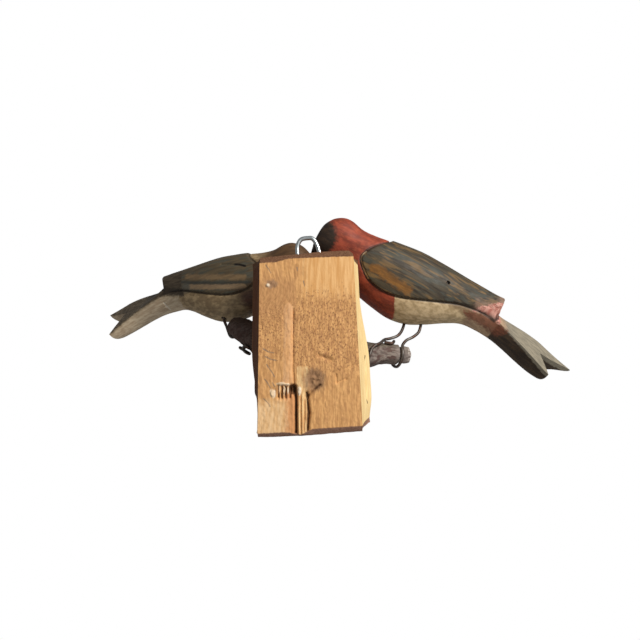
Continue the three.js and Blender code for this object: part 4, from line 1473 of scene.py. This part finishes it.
# Thinned oil paint brushed on carved softwood, worn and grimy: matt, streaky, with painted shade in the grooves.
RED_FINISH = Finish(
    "worn_red_oil_paint_on_pine",
    (
        Tone("#7c3220", "#a5482e", streak=5, stretch=2.5),
        Tone("#6a2c1a", "#8a3a26", patches=0.54, patch_size=9, patch_stretch=1.5, strength=0.7),
        Tone("#b4603f", "#a2502f", patches=0.6, patch_size=1.6, patch_stretch=2.0, strength=0.35),
        Tone("#241810", "#3a2a1c", field="mask", soft=5, wander=1.6, streak=3),
        Tone("#a18a66", "#c8b08a", field="belly", soft=1.2, wander=0.8, streak=3, stretch=1.6),
        # Painted shade on the belly under the wing.
        Tone("#5e4832", "#7a6246", field="under_wing_shade", soft=5, wander=1.2, streak=2, stretch=5, strength=0.75),
        Tone("#2c241a", "#4c4230", field="wing", soft=0.8, wander=0.3, streak=2.4, stretch=14),
        Tone("#3b4038", "#4a4c44", field="wing", soft=1.0, patches=0.55, patch_size=3, patch_stretch=8,
             strength=0.6),
        Tone("#6a5230", "#7c6038", field="wing", soft=3, patches=0.57, patch_size=2.4, patch_stretch=12,
             strength=0.75),
        Tone("#6e4716", "#8d5f24", field="ochre", soft=4, wander=1.6, streak=2.5, stretch=4, strength=0.85),
        Tone("#8a6a58", "#a98a74", field="tail_root", soft=6, wander=2, streak=3, stretch=3, strength=0.6),
        # Grey tail paint, paler in part as painted sheen.
        Tone("#7b7465", "#948b78", field="tail", soft=9, wander=2.5, streak=2, stretch=8),
        # Painted shade on the tail's underside.
        Tone("#2a1c10", "#46341f", field="strip", soft=1.6, wander=0.8, streak=1.6, stretch=10),
        Tone("#5c3019", "#74402a", field="rump", soft=3, wander=1.6, streak=2, stretch=2, strength=0.85),
        Tone("#a8685a", "#cf9c8c", field="raw", soft=1.6, wander=1.4, streak=1.2, stretch=2.5),
        # Painted shade in the groove under the wing's edge.
        Tone("#1d140d", "#2c1e13", field="line", soft=1.0, wander=0.2, strength=0.85),
        # Bare wood on the wing's front edge, with a painted highlight.
        Tone("#b89a74", "#d8bf9a", field="bare_edge_and_highlight", soft=0.7, wander=0.3, strength=0.8),
        # Painted shade inside the nail hole.
        Tone("#120c08", "#1c120b", field="hole", soft=0.8, wander=0.1),
        # Painted shade inside the leg sockets.
        Tone("#1a120c", "#241811", field="socket", soft=1.0, wander=0.1, strength=0.8),
        Tone("#2a1c12", "#3c2a1c", field="bill", soft=1, wander=0.1),
    ),
    roughness=0.62,
    grit=0.9,
    grit_stretch=3.0,
    relief=0.12,
)
OLIVE_FINISH = Finish(
    "worn_olive_oil_paint_on_pine",
    (
        Tone("#806c4e", "#a8906c", streak=3, stretch=1.8),
        Tone("#6a563c", "#7c6648", patches=0.54, patch_size=6, patch_stretch=2.0, strength=0.7),
        Tone("#453a29", "#574a35", field="wing", soft=0.8, wander=0.3, streak=2.0, stretch=14),
        Tone("#3c4038", "#484a42", field="wing", soft=2, patches=0.54, patch_size=3, patch_stretch=7,
             strength=0.6),
        Tone("#6a543a", "#7f6748", field="ochre", soft=2.5, wander=0.8, streak=1.5, stretch=10, strength=0.8),
        Tone("#7f6a52", "#93795a", field="low_band", soft=2, wander=0.6, streak=1.5, stretch=8, strength=0.8),
        Tone("#2c2c28", "#363630", field="blue", soft=1.6, wander=0.4, streak=1.5, stretch=10, strength=0.8),
        Tone("#4c4a42", "#5a564c", field="corner", soft=3, wander=0.8, strength=0.7),
        Tone("#4a3420", "#5c4228", field="head", soft=22, wander=3, streak=3, stretch=3),
        # Red-brown breast under the block's painted shadow.
        Tone("#3a1c12", "#4c2618", field="breast", soft=10, wander=1.5, strength=0.9),
        # Tail top darkened as painted shade, tail side lightened as painted light.
        Tone("#33281a", "#4a3f30", field="shaded_tail_top", soft=3, wander=1.0, streak=2, stretch=8),
        Tone("#a08b72", "#c0b096", field="lit_tail_side", soft=5, wander=1.2, streak=2, stretch=6, strength=0.9),
        # Painted highlight over the tail root's dent.
        Tone("#d0c4b0", "#ded4c4", field="knock", soft=1.0, wander=0.4, strength=0.8),
        # Painted shade in the groove under the wing's edge.
        Tone("#1d150e", "#2a1f14", field="line", soft=1.0, wander=0.2, strength=0.8),
        # Painted shade in the drying slit.
        Tone("#120c08", "#1c120b", field="slit", soft=0.9, wander=0.1),
        # Painted shade inside the leg sockets.
        Tone("#1a120c", "#241811", field="socket", soft=1.0, wander=0.1, strength=0.8),
        Tone("#2a1c12", "#3c2a1c", field="bill", soft=1, wander=0.1),
    ),
    roughness=0.6,
    grit=0.9,
    grit_stretch=3.0,
    relief=0.12,
)
# Old rough-sawn softwood: matt, with torn fibres, resin specks and painted shade in the hollows.
PINE_FINISH = Finish(
    "rough_sawn_old_pine",
    (
        Tone("#c08e5a", "#dfab70", streak=1.4, stretch=9),
        Tone("#a87a4e", "#be8c5c", patches=0.55, patch_size=2.4, patch_stretch=3.0, strength=0.6),
        Tone("#d39d60", "#e9b97e", field="clean", soft=12, wander=3, streak=1.6, stretch=14),
        Tone("#a4754c", "#c08f60", field="swirl", soft=6, wander=2, streak=1.1, stretch=4, strength=0.6),
        Tone("#80523a", "#a06c48", field="speckle", soft=6, wander=4, patches=0.56, patch_size=1.0,
             patch_stretch=1.8, strength=0.7),
        Tone("#5c3826", "#6e4630", field="speckle", soft=8, wander=5, patches=0.66, patch_size=1.6,
             patch_stretch=1.2, strength=0.75),
        Tone("#e0a872", "#eab98a", field="strip", soft=1.4, wander=0.5, streak=1, stretch=14, strength=0.6),
        Tone("#c78a58", "#d99c68", field="warm", soft=2, wander=1, streak=1, stretch=10, strength=0.8),
        Tone("#dcb27e", "#efcb9c", field="pale_low", soft=8, wander=2, streak=1.6, stretch=5, strength=0.8),
        Tone("#d0a06c", "#efcf98", field="column", soft=2, wander=0.5, streak=0.9, stretch=16, strength=0.8),
        Tone("#6e5340", "#937258", field="knot", soft=5, wander=1.5, streak=1.2, stretch=1.5, strength=0.75),
        Tone("#7a5c48", "#a5866c", field="small_knot", soft=2, wander=1.2, streak=1, strength=0.7),
        # Painted shade in the hollows.
        Tone("#3a2214", "#5c3a22", field="hollow_shade", soft=1.4, wander=0.4, strength=0.85),
        Tone("#d6bd98", "#efe2cc", field="chip", soft=1.2, wander=0.7, strength=0.8),
        Tone("#76665a", "#8a7868", field="pencil", soft=0.5, wander=0.1, strength=0.75),
        Tone("#ecc98c", "#f8dda2", field="side", soft=1, wander=0.2, streak=1, stretch=20),
        # Painted shade on the olive side.
        Tone("#5a3420", "#74482e", field="shaded_olive_side", soft=1, wander=0.2, streak=1.2, stretch=12),
        Tone("#5c3c28", "#7c5a42", field="stain_top", soft=0.9, wander=0.35, streak=1.2, stretch=0.4),
        Tone("#7c5a4a", "#9c7866", field="stain_low", soft=0.9, wander=0.35, streak=1.2, stretch=0.4),
        # Painted shade inside the drying crack.
        Tone("#2a180e", "#3c2414", field="crack", soft=0.6, wander=0.2),
    ),
    roughness=0.8,
    grit=0.55,
    grit_stretch=2.5,
    relief=0.16,
    specular=0.25,
)
# Bark of a thin fruitwood branch: matt, ridged, greyish, with painted shade on the arms' upper sides and on the
# stem and olive arm.
BARK_FINISH = Finish(
    "dry_fruitwood_bark",
    (
        Tone("#5c504a", "#8a7e76", streak=2.2, stretch=3),
        Tone("#4c3430", "#5e4640", patches=0.55, patch_size=3, patch_stretch=2, strength=0.8),
        # Painted shade on the arms' upper sides.
        Tone("#4a4434", "#5a5240", field="top", soft=2.5, wander=0.8, strength=0.6),
        # Painted shade on the stem and the olive arm.
        Tone("#3a241c", "#4c322a", field="shade_towards_olive_side", soft=20, wander=3, strength=0.7),
        Tone("#756a64", "#958b84", field="knob", soft=3, wander=0.8, strength=0.6),
        Tone("#b9ada2", "#d6cdc4", field="cut_end", soft=1, wander=0.6, patches=0.5, patch_size=1.2,
             patch_stretch=1, strength=0.8),
        Tone("#a8845a", "#c49e6e", field="sawn", soft=1, wander=0.2),
    ),
    roughness=0.75,
    grit=0.8,
    grit_stretch=2.0,
    relief=0.2,
    specular=0.3,
)
# Zinc-plated steel, drawn and bent: bright, cool, with a few dull spots.
ZINC_FINISH = Finish(
    "zinc_plated_steel_wire",
    (
        Tone("#c9d2d4", "#e4ebee", streak=1.5, stretch=8),
        Tone("#8f999b", "#a9b2b4", patches=0.58, patch_size=2.5, patch_stretch=2, strength=0.5),
    ),
    roughness=0.34,
    grit=0.5,
    grit_stretch=8.0,
    relief=0.02,
    metallic=1.0,
    specular=0.5,
)
# Soft iron wire with a thin brown-black oxide skin.
IRON_FINISH = Finish(
    "oxidised_iron_wire",
    (
        Tone("#453c37", "#6d6863", streak=1.2, stretch=6),
        Tone("#4a2e20", "#5e3c2a", patches=0.55, patch_size=2.5, patch_stretch=3, strength=0.7),
    ),
    roughness=0.5,
    grit=0.5,
    grit_stretch=4.0,
    relief=0.05,
    metallic=0.7,
    specular=0.5,
)


RED_LEG_SOCKETS = (
    ((-80.6, -58.6, 28), (-79.3, -58, 20.4)),
    ((-94.2, -57.4, 25.4), (-92.9, -57, 17.8)),
)
OLIVE_LEG_SOCKETS = (
    ((59.8, -72.5, 33), (60.4, -72.6, 25.4)),
    ((78, -70.5, 31), (76.8, -69.4, 23.6)),
)


def red_bird() -> RedBird:
    """The bird at the red side."""
    return RedBird(
        name="red_bird", slot="red_paint", crown=(-25.9, -52, 110.4), side=-1, scale=1.0, slope=28.2, yaw=4.0,
        body_lean=11.0, tail_lean=46.0, tail_bend=10.0, tail_depth=0.0, lobe_drop=0.0, lobe_spread=0.0,
        wing_depth=1.0, wing_tip=159.0, wing_slant=6.0, fork=(203.0, 213.0, 235.0), sockets=RED_LEG_SOCKETS,
        seed=100,
    )


def olive_bird() -> OliveBird:
    """The bird at the olive side."""
    return OliveBird(
        name="olive_bird", slot="olive_paint", crown=(12.1, -50, 88), side=1, scale=0.93, slope=10.0,
        yaw=22.0, body_lean=12.0, tail_lean=52.0, tail_bend=10.0, tail_depth=2.6, lobe_drop=4.0,
        lobe_spread=4.5, wing_depth=0.84, wing_tip=151.5, wing_slant=10.0, fork=(199.0, 214.0, 228.0),
        sockets=OLIVE_LEG_SOCKETS, seed=200,
    )


def legs() -> tuple[Leg, ...]:
    """The four leg wires."""
    return (
        Leg("red_bird_front_leg", RED_LEG_SOCKETS[0],
            ((-77.1, -57.6, 14), (-73.6, -56.8, 9.6), (-67, -54.6, 6.9), (-61.6, -51.5, 5.7)), ArmName.RED,
            ((0.5, 42, 0.3), (0.4, 66, 0.3), (0.36, 110, 0.3), (0.34, 160, 0.5), (0.32, 210, 0.3),
             (0.3, 260, 0.3), (0.28, 310, 0.3))),
        Leg("red_bird_rear_leg", RED_LEG_SOCKETS[1],
            ((-91, -56.2, 12.4), (-86.4, -55, 8.4), (-79.6, -52.5, 4.9)), ArmName.RED,
            ((0.84, 36, 0.4), (0.82, 80, 0.4), (0.79, 125, 1), (0.75, 170, 0.8), (0.72, 220, 0.2),
             (0.69, 270, 0), (0.67, 320, 0), (0.65, 365, 0), (0.61, 400, 0.2)), ((-61.2, -45.6, 3),)),
        Leg("olive_bird_front_leg", OLIVE_LEG_SOCKETS[0], ((60, -72.2, 20),), ArmName.OLIVE,
            ((0.6, 262, 1.6), (0.54, 300, 0.6), (0.48, 340, 0.5), (0.45, 372, 0.6)),
            ((50.6, -45.4, -6.3), (53, -43.6, -5.4), (55.4, -43, -2.6), (54.2, -42.2, -0.1),
             (50.8, -41.4, -1.8))),
        Leg("olive_bird_rear_leg", OLIVE_LEG_SOCKETS[1], ((74.2, -66.8, 18.4),), ArmName.OLIVE,
            ((0.84, 340, 0.3), (0.79, 300, 0.3), (0.75, 258, 0.3))),
    )


# Studio


@dataclass
class Studio:
    """A pale floor, one large soft light from the upper right, weak fill, and the camera."""

    camera_at: tuple[float, float, float] = (-0.0073, 0.350, -0.0179)
    camera_turn: tuple[float, float, float] = (95.7, 0.0, 180.0)
    lens: float = 27.0
    floor_z: float = -1.5
    key_from: tuple[float, float, float] = (-0.95, 1.15, 0.85)
    key_watts: float = 33.0
    key_size: float = 0.35
    fill: float = 0.24

    def build(self) -> None:
        """Set up everything that isn't part of the object."""
        self.camera()
        self.lights()
        self.floor()

    def camera(self) -> None:
        """Stand where the photograph was taken."""
        data = bpy.data.cameras.new("camera")
        data.lens = self.lens
        data.sensor_width = 36
        data.clip_start = 0.01
        eye = bpy.data.objects.new("camera", data)
        eye.location = self.camera_at
        eye.rotation_euler = [math.radians(a) for a in self.camera_turn]
        bpy.context.scene.collection.objects.link(eye)
        bpy.context.scene.camera = eye

    def lights(self) -> None:
        """Hang the soft key light, and make the surroundings white with a weak glow on the object."""
        data = bpy.data.lights.new("key", "AREA")
        data.energy = self.key_watts
        data.size = self.key_size
        data.color = (1.0, 0.97, 0.93)
        key = bpy.data.objects.new("key", data)
        key.location = self.key_from
        aim = -np.array(self.key_from)
        key.rotation_euler = (
            math.atan2(math.hypot(aim[0], aim[1]), -aim[2]), 0, math.atan2(aim[1], aim[0]) - math.pi / 2,
        )
        bpy.context.scene.collection.objects.link(key)
        world = bpy.data.worlds.new("studio")
        world.use_nodes = True
        bpy.context.scene.world = world
        tree = world.node_tree
        tree.nodes.clear()
        path = add(tree, "ShaderNodeLightPath")
        strength = add(tree, "ShaderNodeMix", {"data_type": "FLOAT"},
                       {0: path.outputs["Is Camera Ray"], 2: self.fill, 3: 1.0})
        glow = add(tree, "ShaderNodeBackground", None,
                   {"Color": (1.0, 1.0, 1.0, 1.0), "Strength": strength.outputs[0]})
        add(tree, "ShaderNodeOutputWorld", None, {"Surface": glow.outputs[0]})
        bpy.context.scene.view_settings.view_transform = "Standard"

    def floor(self) -> None:
        """Lay a wide pale floor well below the hanging piece."""
        ring = np.array([(-1.9, -1.9), (1.9, -1.9), (1.9, 1.9), (-1.9, 1.9)], float) / MM
        points = np.column_stack([ring, np.full(4, self.floor_z / MM)])
        skin = Skin(points, np.array([[0, 1, 2, 3]]), np.empty((0, 3), int), {})
        floor = new_object("studio_floor", skin, 30)
        made = bpy.data.materials.new("pale_studio_floor")
        made.use_nodes = True
        shader = made.node_tree.nodes["Principled BSDF"]
        shader.inputs["Base Color"].default_value = linear("#f8f8f8")
        shader.inputs["Roughness"].default_value = 0.9
        floor.data.materials.append(made)


def main() -> None:
    """Build the studio and every piece in order."""
    logging.basicConfig(level=logging.INFO, format="%(name)s: %(message)s")
    Studio().build()
    Block().build(PINE_FINISH)
    Branch().build(BARK_FINISH)
    red_bird().build(RED_FINISH)
    olive_bird().build(OLIVE_FINISH)
    Staple().build(ZINC_FINISH)
    for leg in legs():
        leg.build(IRON_FINISH)


if __name__ == "__main__":
    main()
